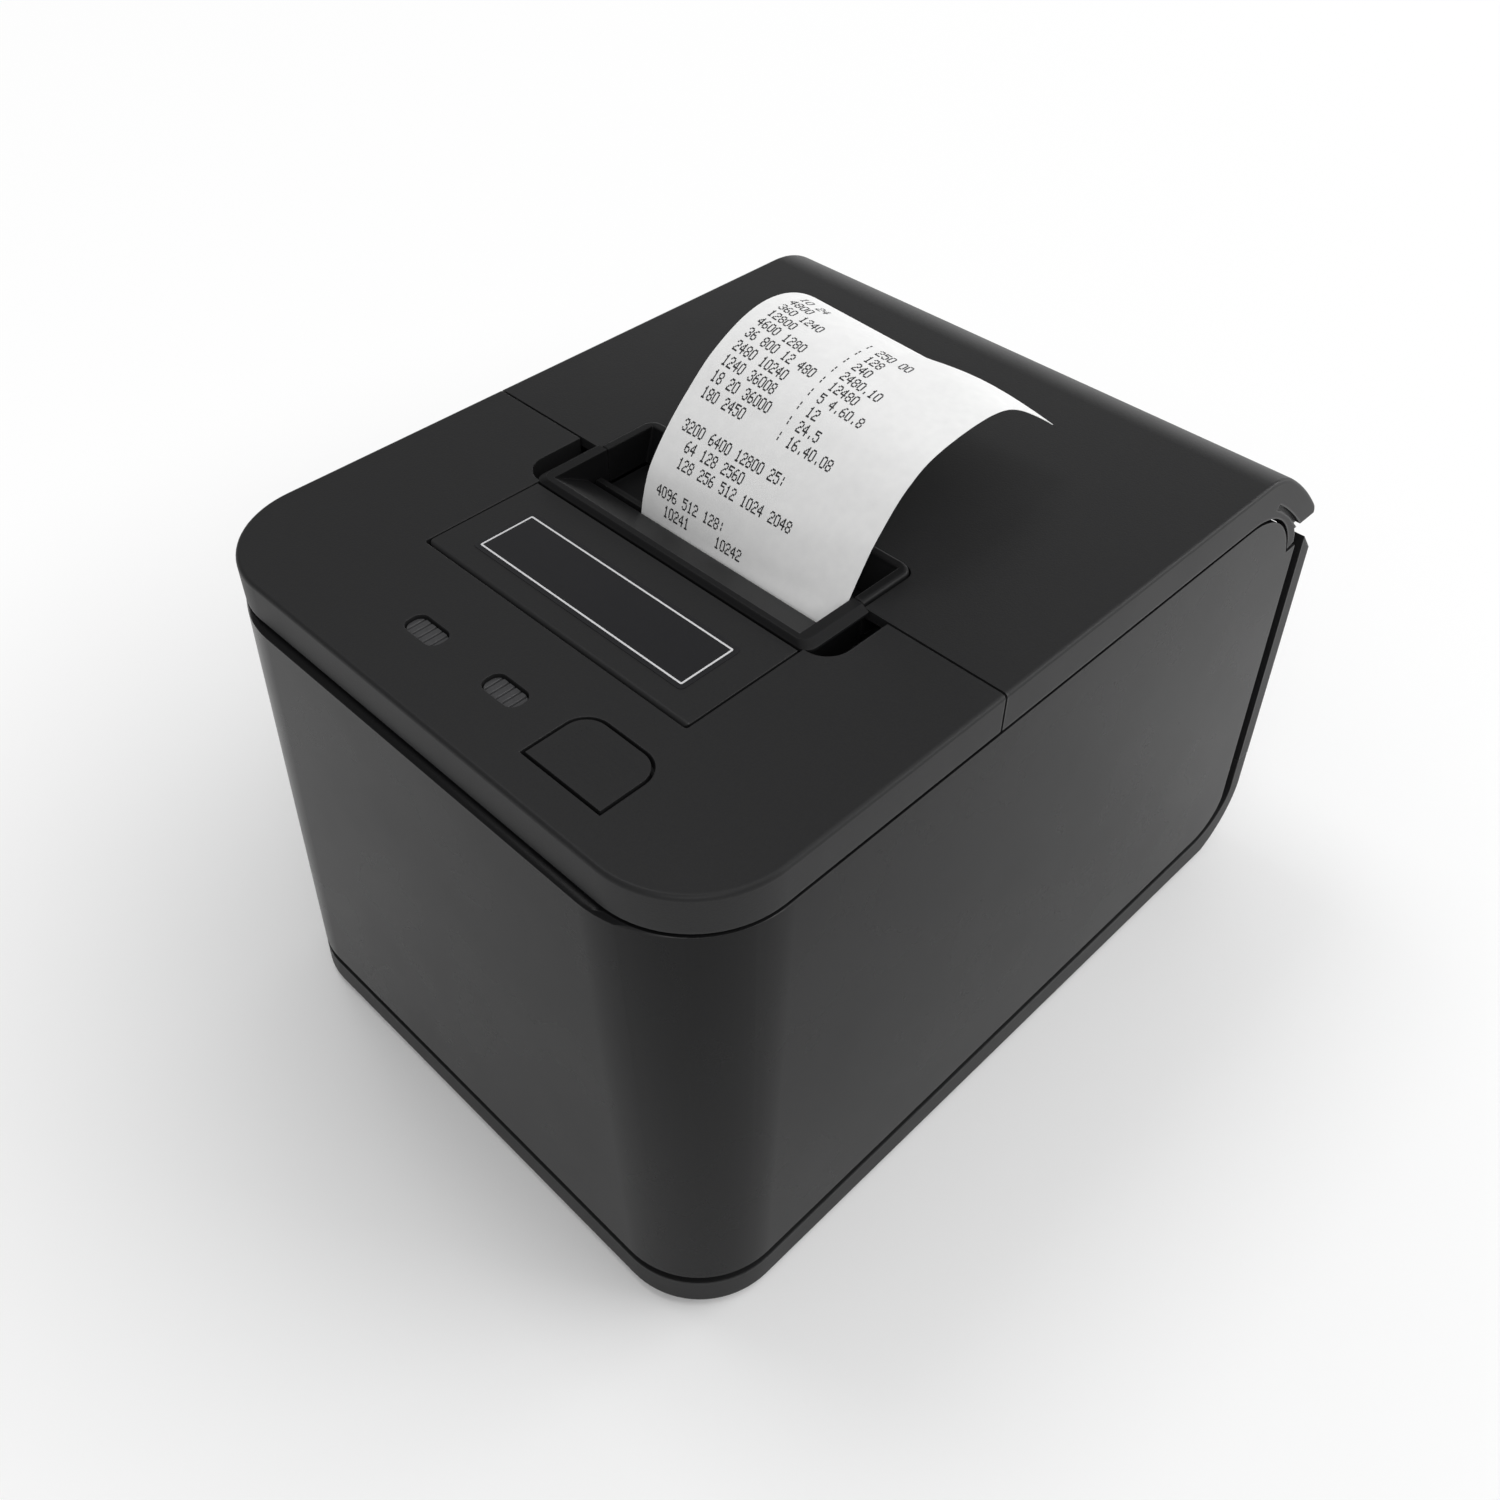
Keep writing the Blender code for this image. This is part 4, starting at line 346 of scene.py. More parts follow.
def arc(centre, radius, start, end, steps=ARC_STEPS):
    return [polar(centre, radius, start + (end - start) * i / steps) for i in range(steps + 1)]


ROLL_AXIS = (0.0081, 0.03675, 0.0486)
ROLL_CENTRE = (REAR - ROLL_START, TOP - ROLL_RADIUS)
TAIL_CENTRE = polar(ROLL_CENTRE, ROLL_RADIUS - TAIL_RADIUS, 90 - ROLL_ANGLE)
HINGE = polar(TAIL_CENTRE, TAIL_RADIUS - BARREL, 90 - TAIL_ANGLE)
SHOULDER = (REAR - SHOULDER_BACK, SEAM_Z - SHOULDER_RADIUS)
HEEL_CENTRE = (REAR - HEEL_RADIUS, FOOT_DROP + HEEL_RADIUS)


def about(middle, half):
    return middle - half, middle + half


def span(side, a, b):
    """The stretch between two places on one side of the middle, its low end first."""
    return sorted((side * a, side * b))


def row(middle, count, pitch):
    """Places of a number of like things side by side."""
    return [middle + (i - (count - 1) / 2) * pitch for i in range(count)]


def grown(size, edge):
    return size[0] + 2 * edge, size[1] + 2 * edge


def corners_of(x, y):
    return [(x[0], y[0]), (x[1], y[0]), (x[1], y[1]), (x[0], y[1])]


def box_of(node):
    """A node's box: its low corner, its high corner and its middle."""
    low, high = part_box(node)
    return low, high, [(a + b) / 2 for a, b in zip(low, high)]


def stand(axis, outline, along):
    """A flat outline set square to an axis at one place along it."""
    i = "XYZ".index(axis)
    return [(*point[:i], along, *point[i:]) for point in outline]


def new_piece(name, shape):
    mesh = bpy.data.meshes.new(name)
    shape.to_mesh(mesh)
    shape.free()
    made = bpy.data.objects.new(name, mesh)
    bpy.context.scene.collection.objects.link(made)
    return made


def loft(name, rings):
    """A closed solid through matching rings of points, with flat ends."""
    shape = bmesh.new()
    loops = [[shape.verts.new(point) for point in ring] for ring in rings]
    for lower, upper in zip(loops, loops[1:]):
        for i, corner in enumerate(lower):
            j = (i + 1) % len(lower)
            shape.faces.new((corner, lower[j], upper[j], upper[i]))
    shape.faces.new(reversed(loops[0]))
    shape.faces.new(loops[-1])
    bmesh.ops.recalc_face_normals(shape, faces=shape.faces)
    return new_piece(name, shape)


def prism(name, axis, outline, low, high):
    return loft(name, [stand(axis, outline, low), stand(axis, outline, high)])


def box(name, x, y, z):
    return prism(name, "Z", corners_of(x, y), *z)


def circle(centre, radius, sides):
    return [polar(centre, radius, 360 * i / sides) for i in range(sides)]


def rod(name, axis, centre, radius, low, high, sides=32):
    return prism(name, axis, circle(centre, radius, sides), low, high)


def rounded(centre, size, radius, steps=6):
    """A rectangle with round corners, of one radius or of one for each corner from rear right round."""
    radii = radius if isinstance(radius, tuple) else (radius,) * 4
    points = []
    for i, (right, rear) in enumerate(((1, 1), (-1, 1), (-1, -1), (1, -1))):
        corner = radii[i]
        middle = (centre[0] + right * (size[0] / 2 - corner), centre[1] + rear * (size[1] / 2 - corner))
        points += arc(middle, corner, 90 * i, 90 * i + 90, steps) if corner else [middle]
    return points


def settle(piece, modifier):
    """Applies a modifier to a piece."""
    graph = bpy.context.evaluated_depsgraph_get()
    mesh = bpy.data.meshes.new_from_object(piece.evaluated_get(graph))
    piece.modifiers.remove(modifier)
    piece.data = mesh
    return piece


def combine(target, tool, operation):
    modifier = target.modifiers.new(operation.lower(), "BOOLEAN")
    modifier.operation = operation
    modifier.solver = "EXACT"
    modifier.object = tool
    settle(target, modifier)
    bpy.data.objects.remove(tool)
    return target


def cut(target, *tools):
    for tool in tools:
        combine(target, tool, "DIFFERENCE")
    return target


def drill(target, axis, outline, low, high):
    """Cuts an outline straight into a piece."""
    cut(target, prism("drill", axis, outline, low, high))


def join(target, *tools):
    for tool in tools:
        combine(target, tool, "UNION")
    return target


def soften(piece, width, segments=3, angle=34):
    """Merges flat faces, rounds the sharp edges and keeps the flats flat in the shading."""
    shape = bmesh.new()
    shape.from_mesh(piece.data)
    bmesh.ops.remove_doubles(shape, verts=shape.verts, dist=2e-6)
    bmesh.ops.dissolve_limit(shape, angle_limit=math.radians(0.3), verts=shape.verts, edges=shape.edges)
    shape.to_mesh(piece.data)
    shape.free()
    piece.data.shade_smooth()
    bevel = piece.modifiers.new("round edges", "BEVEL")
    bevel.width = width
    bevel.segments = segments
    bevel.limit_method = "ANGLE"
    bevel.angle_limit = math.radians(angle)
    bevel.use_clamp_overlap = True
    settle(piece, bevel)
    level = piece.modifiers.new("flat faces", "WEIGHTED_NORMAL")
    level.mode = "FACE_AREA"
    level.weight = 90
    return settle(piece, level)


def place(piece, node, material):
    """Puts a finer piece in place of a node, on its body and with the given material."""
    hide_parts(node)
    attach(piece, NODES[node]["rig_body"])
    dress(piece, material)


def dress(piece, material):
    """Gives a piece a look, as its only material."""
    piece.data.materials.clear()
    piece.data.materials.append(material)
    return piece


# Materials

def new_material(name):
    material = bpy.data.materials.new(name)
    material.use_nodes = True
    tree = material.node_tree
    return material, tree, tree.nodes["Principled BSDF"]


def fill(tree, node, inputs):
    """Sets each socket of a node to a constant or links it to another node's socket."""
    for label, source in inputs.items():
        if isinstance(source, bpy.types.NodeSocket):
            tree.links.new(source, node.inputs[label])
        else:
            node.inputs[label].default_value = source
    return node


def add_node(tree, kind, inputs=None, operation=None):
    node = tree.nodes.new("ShaderNode" + kind)
    if operation:
        node.operation = operation
    return fill(tree, node, inputs or {})


def object_space(tree):
    return add_node(tree, "TexCoord").outputs["Object"]


def add_noise(tree, vector, scale, detail):
    return add_node(tree, "TexNoise", {"Vector": vector, "Scale": scale, "Detail": detail}).outputs["Fac"]


def add_range(tree, value, limits):
    return add_node(tree, "MapRange", {"Value": value, **limits}).outputs["Result"]


def mix_colours(tree, share, first, second, blend_type="MIX"):
    mix = add_node(tree, "Mix")
    mix.data_type = "RGBA"
    mix.blend_type = blend_type
    return fill(tree, mix, {"Factor": share, "A": first, "B": second}).outputs["Result"]


def make_grain_group():
    """Moulded plastic grain: a fine pitted bump, uneven roughness, a drift of colour, edges rubbed paler."""
    colour, value, vector = "NodeSocketColor", "NodeSocketFloat", "NodeSocketVector"
    group = bpy.data.node_groups.new("moulded grain", "ShaderNodeTree")
    for label, kind, usual in (
        ("Colour", colour, (0.02, 0.02, 0.02, 1.0)),
        ("Roughness", value, 0.5),
        ("Grain size", value, 2600.0),
        ("Grain depth", value, 0.3),
    ):
        group.interface.new_socket(label, in_out="INPUT", socket_type=kind).default_value = usual
    for label, kind in (("Colour", colour), ("Roughness", value), ("Normal", vector)):
        group.interface.new_socket(label, in_out="OUTPUT", socket_type=kind)
    given = group.nodes.new("NodeGroupInput").outputs
    end = group.nodes.new("NodeGroupOutput")
    where = object_space(group)
    pits = add_node(group, "TexNoise", {"Vector": where, "Detail": 2.0, "Roughness": 0.6})
    grain = fill(group, pits, {"Scale": given["Grain size"]}).outputs["Fac"]
    bump = add_node(group, "Bump", {"Height": grain, "Strength": given["Grain depth"], "Distance": 0.00006})
    patches = add_noise(group, where, 38.0, 5.0)
    # Edges are where the normal turns within a short reach
    bevelled = add_node(group, "Bevel", {"Radius": 0.0009})
    bevelled.samples = 4
    normal = add_node(group, "NewGeometry").outputs["Normal"]
    likeness = add_node(group, "VectorMath", {0: normal, 1: bevelled.outputs["Normal"]}, "DOT_PRODUCT")
    edge = add_range(group, likeness.outputs["Value"], {"From Min": 0.995, "From Max": 0.90})
    spread = add_range(group, patches, {"To Min": -0.05, "To Max": 0.05})
    rough = add_node(group, "Math", {0: given["Roughness"], 1: spread}, "ADD")
    polished = add_node(group, "Math", {0: edge, 1: -0.24, 2: rough.outputs["Value"]}, "MULTIPLY_ADD")
    tone = add_range(group, grain, {"To Min": 0.85, "To Max": 1.18})
    tint = add_node(group, "VectorMath", {0: given["Colour"], "Scale": tone}, "SCALE")
    rubbed = add_node(group, "Math", {0: edge, 1: patches}, "MULTIPLY").outputs["Value"]
    worn = mix_colours(group, rubbed, tint.outputs["Vector"], (0.015, 0.015, 0.015, 1.0), "ADD")
    fill(group, end, {"Colour": worn, "Roughness": polished.outputs["Value"]})
    fill(group, end, {"Normal": bump.outputs["Normal"]})
    return group


GRAIN = make_grain_group()


def plastic(name, colour, roughness, size=2600.0, depth=0.3, ior=1.46):
    """Moulded plastic, rubber or card with a fine grain."""
    material, tree, shader = new_material(name)
    grain = add_node(tree, "Group")
    grain.node_tree = GRAIN
    fill(tree, grain, {"Colour": (*colour, 1.0), "Roughness": roughness})
    fill(tree, grain, {"Grain size": size, "Grain depth": depth})
    look = grain.outputs
    fill(tree, shader, {"Base Color": look["Colour"], "Roughness": look["Roughness"]})
    fill(tree, shader, {"Normal": look["Normal"], "IOR": ior})
    return material


def metal(name, colour, roughness, along):
    """Rolled or drawn metal: fine streaks along one axis."""
    material, tree, shader = new_material(name)
    scale = [40.0 if i == along else 1500.0 for i in range(3)]
    stretch = add_node(tree, "Mapping", {"Vector": object_space(tree), "Scale": scale})
    streaks = add_noise(tree, stretch.outputs["Vector"], 1.0, 4.0)
    bump = add_node(tree, "Bump", {"Height": streaks, "Strength": 0.15, "Distance": 0.00004})
    dull = [0.82 * c for c in colour]
    fill(tree, shader, {
        "Base Color": mix_colours(tree, streaks, (*dull, 1.0), (*colour, 1.0)),
        "Roughness": add_range(tree, streaks, {"To Min": roughness - 0.08, "To Max": roughness + 0.12}),
        "Normal": bump.outputs["Normal"],
        "Metallic": 1.0,
    })
    return material


def make_paper_material():
    """White thermal paper with faint fibre mottling."""
    material, tree, shader = new_material("thermal_paper")
    fibre = add_noise(tree, object_space(tree), 420.0, 6.0)
    bump = add_node(tree, "Bump", {"Height": fibre, "Strength": 0.08, "Distance": 0.00005})
    fill(tree, shader, {
        "Base Color": mix_colours(tree, fibre, (0.80, 0.80, 0.80, 1.0), (0.90, 0.90, 0.895, 1.0)),
        "Normal": bump.outputs["Normal"],
        "Roughness": 0.62,
        "Specular IOR Level": 0.3,
    })
    return material


def make_roll_material(centre):
    """The paper roll: white, with the edges of the wound layers as fine rings on its ends."""
    material, tree, shader = new_material("wound_paper")
    shift = add_node(tree, "VectorMath", {0: object_space(tree), 1: centre}, "SUBTRACT")
    flat = add_node(tree, "VectorMath", {0: shift.outputs["Vector"], 1: (0.0, 1.0, 1.0)}, "MULTIPLY")
    reach = add_node(tree, "VectorMath", {0: flat.outputs["Vector"]}, "LENGTH")
    rings = add_node(tree, "TexNoise", {"Scale": 3200.0, "Detail": 3.0})
    rings.noise_dimensions = "1D"
    layers = fill(tree, rings, {"W": reach.outputs["Value"]}).outputs["Fac"]
    colour = mix_colours(tree, layers, (0.62, 0.61, 0.59, 1.0), (0.90, 0.90, 0.89, 1.0))
    fill(tree, shader, {"Base Color": colour, "Roughness": 0.7})
    return material


def make_board_material():
    """Green circuit board with paler tracks under the lacquer."""
    material, tree, shader = new_material("circuit_board")
    cells = add_node(tree, "TexVoronoi", {"Vector": object_space(tree), "Scale": 330.0})
    cells.feature = "DISTANCE_TO_EDGE"
    tracks = add_range(tree, cells.outputs["Distance"], {"From Min": 0.05, "From Max": 0.09})
    colour = mix_colours(tree, tracks, (0.035, 0.20, 0.08, 1.0), (0.012, 0.085, 0.035, 1.0))
    fill(tree, shader, {"Base Color": colour, "Roughness": 0.35})
    return material


MATT = plastic("charcoal_matt", (0.0135, 0.0135, 0.0140), 0.48, 2400.0, 0.45, 1.30)
SATIN = plastic("charcoal_satin", (0.0065, 0.0065, 0.0069), 0.28, 1500.0, 0.10, 1.21)
SLOT = plastic("charcoal_slot", (0.0070, 0.0070, 0.0074), 0.44, 2000.0, 0.2, 1.23)
LENS = plastic("smoked_lens", (0.045, 0.045, 0.047), 0.2, 900.0, 0.05)
LABEL = plastic("blank_label", (0.006, 0.006, 0.0075), 0.24, 700.0, 0.05)
LABEL_LINE = plastic("label_line", (0.62, 0.62, 0.63), 0.5, 2600.0, 0.1)
GREY = plastic("grey_moulding", (0.13, 0.13, 0.135), 0.5)
WHITE = plastic("white_moulding", (0.72, 0.72, 0.69), 0.42)
RUBBER = plastic("black_rubber", (0.014, 0.014, 0.014), 0.82, 1400.0, 0.6)
CARD = plastic("brown_card", (0.40, 0.31, 0.21), 0.85, 900.0, 0.6)
INK = plastic("printed_marks", (0.018, 0.018, 0.020), 0.6, 1800.0, 0.2)
RESIN = plastic("chip_resin", (0.012, 0.012, 0.013), 0.55, 3000.0, 0.3)
STEEL = metal("rolled_steel", (0.56, 0.56, 0.57), 0.32, 0)
BRASS = metal("contact_brass", (0.70, 0.52, 0.22), 0.3, 1)
ALUMINIUM = metal("plain_aluminium", (0.74, 0.74, 0.75), 0.4, 0)
PAPER = make_paper_material()
ROLL = make_roll_material(ROLL_AXIS)
BOARD = make_board_material()

SLOT_LOOKS = {
    "casing_matt": MATT, "casing_satin": SATIN, "slot_gloss": SLOT, "lens": LENS,
    "grey_plastic": GREY, "white_plastic": WHITE, "paper": PAPER, "card": CARD,
    "steel": STEEL, "aluminium": ALUMINIUM, "rubber": RUBBER, "board": BOARD,
}


# Casing

def plan(half, front, back, radius):
    """Casing outline from above: round front corners and square rear ones."""
    left = arc((-half + radius, front + radius), radius, 180, 270, CORNER_STEPS)
    right = arc((half - radius, front + radius), radius, 270, 360, CORNER_STEPS)
    return [(half, back), (-half, back), *left, *right]


def body_ring(z, inset, back):
    share = (SEAM_Z - z) / (SEAM_Z - FOOT_DROP - EDGE)
    half = TOP_WIDTH / 2 + FLARE * share - inset
    front = CAP_FRONT - LEDGE - FRONT_FLARE * share + inset
    radius = SEAM_RADIUS + (CORNER_RADIUS - SEAM_RADIUS) * share - inset
    return stand("Z", plan(half, front, back, radius), z)


def body_block(name, low, high, inset, back):
    return loft(name, [body_ring(low, inset, back), body_ring(high, inset, back)])


def heel_trim(level, behind):
    curve = arc(HEEL_CENTRE, (HEEL_RADIUS - behind, HEEL_RADIUS - level), -90, 0)
    outside = [(REAR + FAR, curve[-1][1]), (REAR + FAR, -FAR), (curve[0][0], -FAR)]
    return prism("heel", "X", curve + outside, *ACROSS)


def groove_band():
    curve = arc(HEEL_CENTRE, (HEEL_RADIUS - REAR_RIM, HEEL_RADIUS - RIM_HEIGHT), -90, 0)
    outline = [(FRONT - FAR, RIM_TOP), *curve, (REAR - REAR_RIM, TOP + FAR), (FRONT - FAR, TOP + FAR)]
    band = prism("groove", "X", outline, *ACROSS)
    return cut(band, body_block("core", -FAR, TOP + 2 * FAR, LIP_INSET, REAR + FAR))


def make_base():
    levels = ((FOOT_DROP, EDGE), (FOOT_DROP + EDGE, 0), (HEEL_TOP, 0))
    tray = cut(loft("base", [body_ring(z, inset, REAR) for z, inset in levels]), heel_trim(0, 0))
    hollow = body_block("hollow", FOOT_DROP + FLOOR, HEEL_TOP + FAR, LIP_INSET + LIP, REAR - REAR_WALL)
    cut(tray, cut(hollow, heel_trim(FLOOR, REAR_WALL)), groove_band())
    cut(tray, box("above", ACROSS, (FRONT - FAR, REAR - LIP_REACH), (BODY_LOW + LIP_RISE, TOP)))
    for y in FOOT_Y:
        for x in (-FOOT_X, FOOT_X):
            cut(tray, rod("recess", "Z", (x, y), FOOT_RECESS[0], -FAR, FOOT_RECESS[1]))
    for x in (-SCREW_X, SCREW_X):
        for y in SCREW_Y:
            cut(tray, rod("sink", "Z", (x, CAP_FRONT + y), SCREW_SINK[0], -FAR, SCREW_SINK[1]))
    place(soften(tray, 0.0003, 2), "base_tray", MATT)


def make_body():
    back = REAR - REAR_RIM - REAR_GROOVE
    half = TOP_WIDTH / 2
    step = SEAM_Z - REVEAL
    ledge = plan(half, CAP_FRONT, back, CAP_RADIUS)
    rim = plan(half - WALL / 2, CAP_FRONT + WALL / 2, back, CAP_RADIUS - WALL / 2)
    rings = [body_ring(BODY_LOW, 0, back), body_ring(step - LEDGE_DROP, 0, back)]
    rings += [stand("Z", ledge, step), stand("Z", rim, step), stand("Z", rim, SEAM_Z)]
    shell = loft("body", rings)
    shelf_low = SEAM_Z - SHELF_THICK
    cut(shell, body_block("inside", BODY_LOW - FAR, shelf_low, WALL, REAR + FAR))
    cut(shell, body_block("opening", shelf_low - FIT, SEAM_Z + FAR, SHELF, REAR + FAR))
    side = (-half + WALL, half - WALL)
    cut(shell, box("rear_opening", side, (COVER_SEAM, REAR + FAR), (shelf_low - FIT, SEAM_Z + FAR)))
    cut(shell, heel_trim(RIM_HEIGHT + GROOVE, REAR_RIM + REAR_GROOVE))
    curve = arc(SHOULDER, SHOULDER_RADIUS - REVEAL, 90, BAND_END - BAND_GAP)
    outside = [(REAR + FAR, curve[-1][1]), (REAR + FAR, TOP + FAR), (SHOULDER[0], TOP + FAR)]
    drill(shell, "X", curve + outside, *ACROSS)
    place(soften(shell, 0.0006), "body_shell", SATIN)


def slot_outline():
    near = (SLOT_HALF - SLOT_NOSE, CAP_FRONT + FLAP_FRONT + SLOT_NOSE)
    right = [*arc(near, SLOT_NOSE, -90, 0, 8), (SLOT_HALF, COVER_SEAM + FAR)]
    return right + [(-x, y) for x, y in reversed(right)]


def finger_outline(side, inside, grow, back):
    """The plan of the finger recess at one end of the slot, grown outwards by a wall."""
    wide = SLOT_HALF + FINGER_WIDTH
    start = COVER_SEAM - FINGER_LENGTH
    curve = arc((wide - FINGER_RADIUS, start + FINGER_RADIUS), FINGER_RADIUS + grow, -90, 0, 12)
    right = [(inside, start - grow), *curve, (wide + grow, back), (inside, back)]
    return right if side > 0 else [(-x, y) for x, y in reversed(right)]


def button_outline(grow):
    radius = BUTTON_RADIUS + grow
    return rounded((BUTTON_X, BUTTON_Y), grown(BUTTON_SIZE, grow), (radius, radius, 0, 0), 10)


def fillet():
    """Steps round the top edge, each as an inset from the side and a drop from the top."""
    turns = [math.radians(90 * i / FILLET_STEPS) for i in range(FILLET_STEPS + 1)]
    return [(CAP_FILLET * (1 - math.cos(turn)), CAP_FILLET * (1 - math.sin(turn))) for turn in turns]


def make_panel():
    back = COVER_SEAM - LINE / 2
    half = TOP_WIDTH / 2
    rings = [stand("Z", plan(half, CAP_FRONT, back, CAP_RADIUS), SEAM_Z + FIT)]
    for inset, drop in fillet():
        rings.append(stand("Z", plan(half - inset, CAP_FRONT + inset, back, CAP_RADIUS - inset), TOP - drop))
    panel = loft("panel", rings)
    hollow = plan(half - WALL, CAP_FRONT + WALL, back + FAR, CAP_RADIUS - WALL)
    drill(panel, "Z", hollow, SEAM_Z - FAR, UNDER)
    for side in (-1, 1):
        skirt = finger_outline(side, SLOT_HALF + FIT, SKIRT, back)
        join(panel, prism("skirt", "Z", skirt, SKIRT_END, UNDER + FIT))
        recess = finger_outline(side, SLOT_HALF - FIT, 0, COVER_SEAM + FAR)
        drill(panel, "Z", recess, SKIRT_END - FAR, TOP + FAR)
    drill(panel, "Z", slot_outline(), SEAM_Z, TOP + FAR)
    drill(panel, "Z", button_outline(BUTTON_GAP), SEAM_Z, TOP + FAR)
    for x in LIGHT_X:
        window = rounded((x, CAP_FRONT + LIGHT_Y), LIGHT_SIZE, LIGHT_RADIUS)
        drill(panel, "Z", window, SEAM_Z, TOP + FAR)
    place(soften(panel, 0.0004), "top_panel", MATT)


def roll_over(inset, end=TAIL_ANGLE):
    first = arc(ROLL_CENTRE, ROLL_RADIUS - inset, 90, 90 - ROLL_ANGLE)
    second = arc(TAIL_CENTRE, TAIL_RADIUS - inset, 90 - ROLL_ANGLE, 90 - end)
    return first + second[1:]


def cover_outline(inset):
    turn = math.degrees(math.asin((HINGE[1] - SHOULDER[1]) / (SHOULDER_RADIUS + FIT)))
    ring = arc(SHOULDER, SHOULDER_RADIUS + FIT, 90, turn)
    barrel = arc(HINGE, BARREL - inset, -180, 90 - TAIL_ANGLE)
    back = roll_over(inset)
    back.reverse()
    front = COVER_SEAM + LINE / 2
    return [(front, SEAM_Z + FIT), *ring, *barrel, *back[1:], (front, TOP - inset)]


def slit_outline():
    sides = []
    for depth in (SLIT_DEPTH, SLIT_DEPTH + SLIT):
        first = arc(ROLL_CENTRE, ROLL_RADIUS - depth, 90 - SLIT_ANGLE, 90 - ROLL_ANGLE, 6)
        second = arc(TAIL_CENTRE, TAIL_RADIUS - depth, 90 - ROLL_ANGLE, 90 - TAIL_ANGLE, 10)
        sides.append(first + second[1:])
    return sides[0] + sides[1][::-1]


def band_outline():
    """The end of the cover's side wall, following the body's shoulder down to the rear rim."""
    inner = arc(SHOULDER, SHOULDER_RADIUS + FIT, 70, BAND_END, 16)
    outer = [polar(SHOULDER, SHOULDER_RADIUS + FIT + depth, turn) for turn, depth in BAND]
    return inner + outer


def make_cover():
    half = TOP_WIDTH / 2
    rings = [(half - inset, cover_outline(drop)) for inset, drop in fillet()]
    sections = [stand("X", outline, -x) for x, outline in rings]
    sections += [stand("X", outline, x) for x, outline in reversed(rings)]
    cover = loft("cover", sections)
    under = roll_over(WALL, (ROLL_ANGLE + TAIL_ANGLE) / 2)
    ahead, below = COVER_SEAM - FAR, SEAM_Z - FAR
    hollow = [(ahead, UNDER), *under, (under[-1][0], below), (ahead, below)]
    drill(cover, "X", hollow, -half + WALL, half - WALL)
    for x in RIBS:
        rib_y = (COVER_SEAM + RIB_START, ROLL_CENTRE[0])
        join(cover, box("rib", about(x, RIB / 2), rib_y, (UNDER - RIB_DEPTH, UNDER + WALL / 2)))
    for side in (-1, 1):
        drill(cover, "X", slit_outline(), *span(side, half + FAR, half - WALL / 2))
    notch_size = (2 * SLOT_HALF, 2 * (CAP_FRONT + SLOT_BACK - COVER_SEAM))
    notch = rounded((0, COVER_SEAM), notch_size, SLOT_CORNER, 8)
    drill(cover, "Z", notch, SEAM_Z - FAR, TOP + FAR)
    for x in (-EAR_X, EAR_X):
        height = (HINGE[1] - FAR, HINGE[1] + BARREL + FIT)
        cut(cover, box("ear_gap", about(x, EAR_WIDTH / 2 + FIT), about(HINGE[0], 2 * BARREL), height))
    near, far = about(EAR_X, KNUCKLE / 2)
    for ends in ((-half - FAR, -far), (-near, near), (far, half + FAR)):
        height = (HINGE[1] - 2 * BARREL, HINGE[1] + FIT)
        cut(cover, box("tail_end", ends, (HINGE[0] - 2 * BARREL - FIT, REAR + FAR), height))
    for side in (-1, 1):
        join(cover, prism("band", "X", band_outline(), *span(side, half, half - WALL)))
    place(soften(cover, 0.0004), "paper_cover", MATT)


def make_rear_panel():
    panel = body_block("rear_plate", HEEL_TOP + FIT, PANEL_TOP, 0, REAR)
    cut(panel, box("ahead", ACROSS, (FRONT - FAR, REAR - LIP_REACH), (0, TOP)))
    cut(panel, body_block("hollow", 0, TOP + FAR, LIP_INSET + LIP, REAR - REAR_WALL), groove_band())
    ahead, behind = about(REAR, REAR_RIM)
    fall = [(ahead, PANEL_TOP), (behind, PANEL_TOP - 2 * PANEL_SLOPE), (behind, TOP), (ahead, TOP)]
    drill(panel, "X", fall, *ACROSS)
    middle = REAR - REAR_WALL / 2
    root = PANEL_TOP - PANEL_SLOPE
    ear = [(middle, PANEL_TOP - 2 * LIP_REACH / 3), (middle, root), *arc(HINGE, EAR_RADIUS, 0, 180)]
    ear.append((HINGE[0] - EAR_RADIUS, root))
    for x in (-EAR_X, EAR_X):
        join(panel, prism("ear", "X", ear, *about(x, EAR_WIDTH / 2)))
        cut(panel, rod("bore", "X", HINGE, PIN_BORE, *about(x, EAR_WIDTH)))
    for x, *size in SOCKETS:
        hole = rounded((x, SOCKET_Z), grown(size, FIT), 0)
        drill(panel, "Y", hole, REAR - REAR_WALL - FIT, REAR + FAR)
    flange = rounded((SOCKETS[-1][0], SOCKET_Z), grown(SWITCH_FLANGE, FIT), SWITCH_CORNER)
    drill(panel, "Y", flange, REAR - SWITCH_SINK, REAR + FAR)
    place(soften(panel, 0.0003, 2), "rear_panel", MATT)


# Top fittings

def make_flap():
    nose = arc((FLAP_Y + LINE - FIT, TOP - FLAP_THICK / 2), FLAP_THICK / 2, 90, 270, 12)
    outline = [*nose, (FLAP_REAR - FIT, TOP - FLAP_THICK), (FLAP_REAR - FIT, TOP)]
    half = SLOT_HALF - LINE
    flap = prism("flap", "X", outline, -half, half)
    centre = (0, CAP_FRONT + FLAP_FRONT + LINE + FLAP_LENGTH)
    radius = FLAP_CORNER - LINE
    corners = rounded(centre, (2 * half, 2 * FLAP_LENGTH), (0, 0, radius, radius))
    combine(flap, prism("corners", "Z", corners, 0, TOP + FAR), "INTERSECT")
    place(soften(flap, 0.0004), "cutter_flap", MATT)


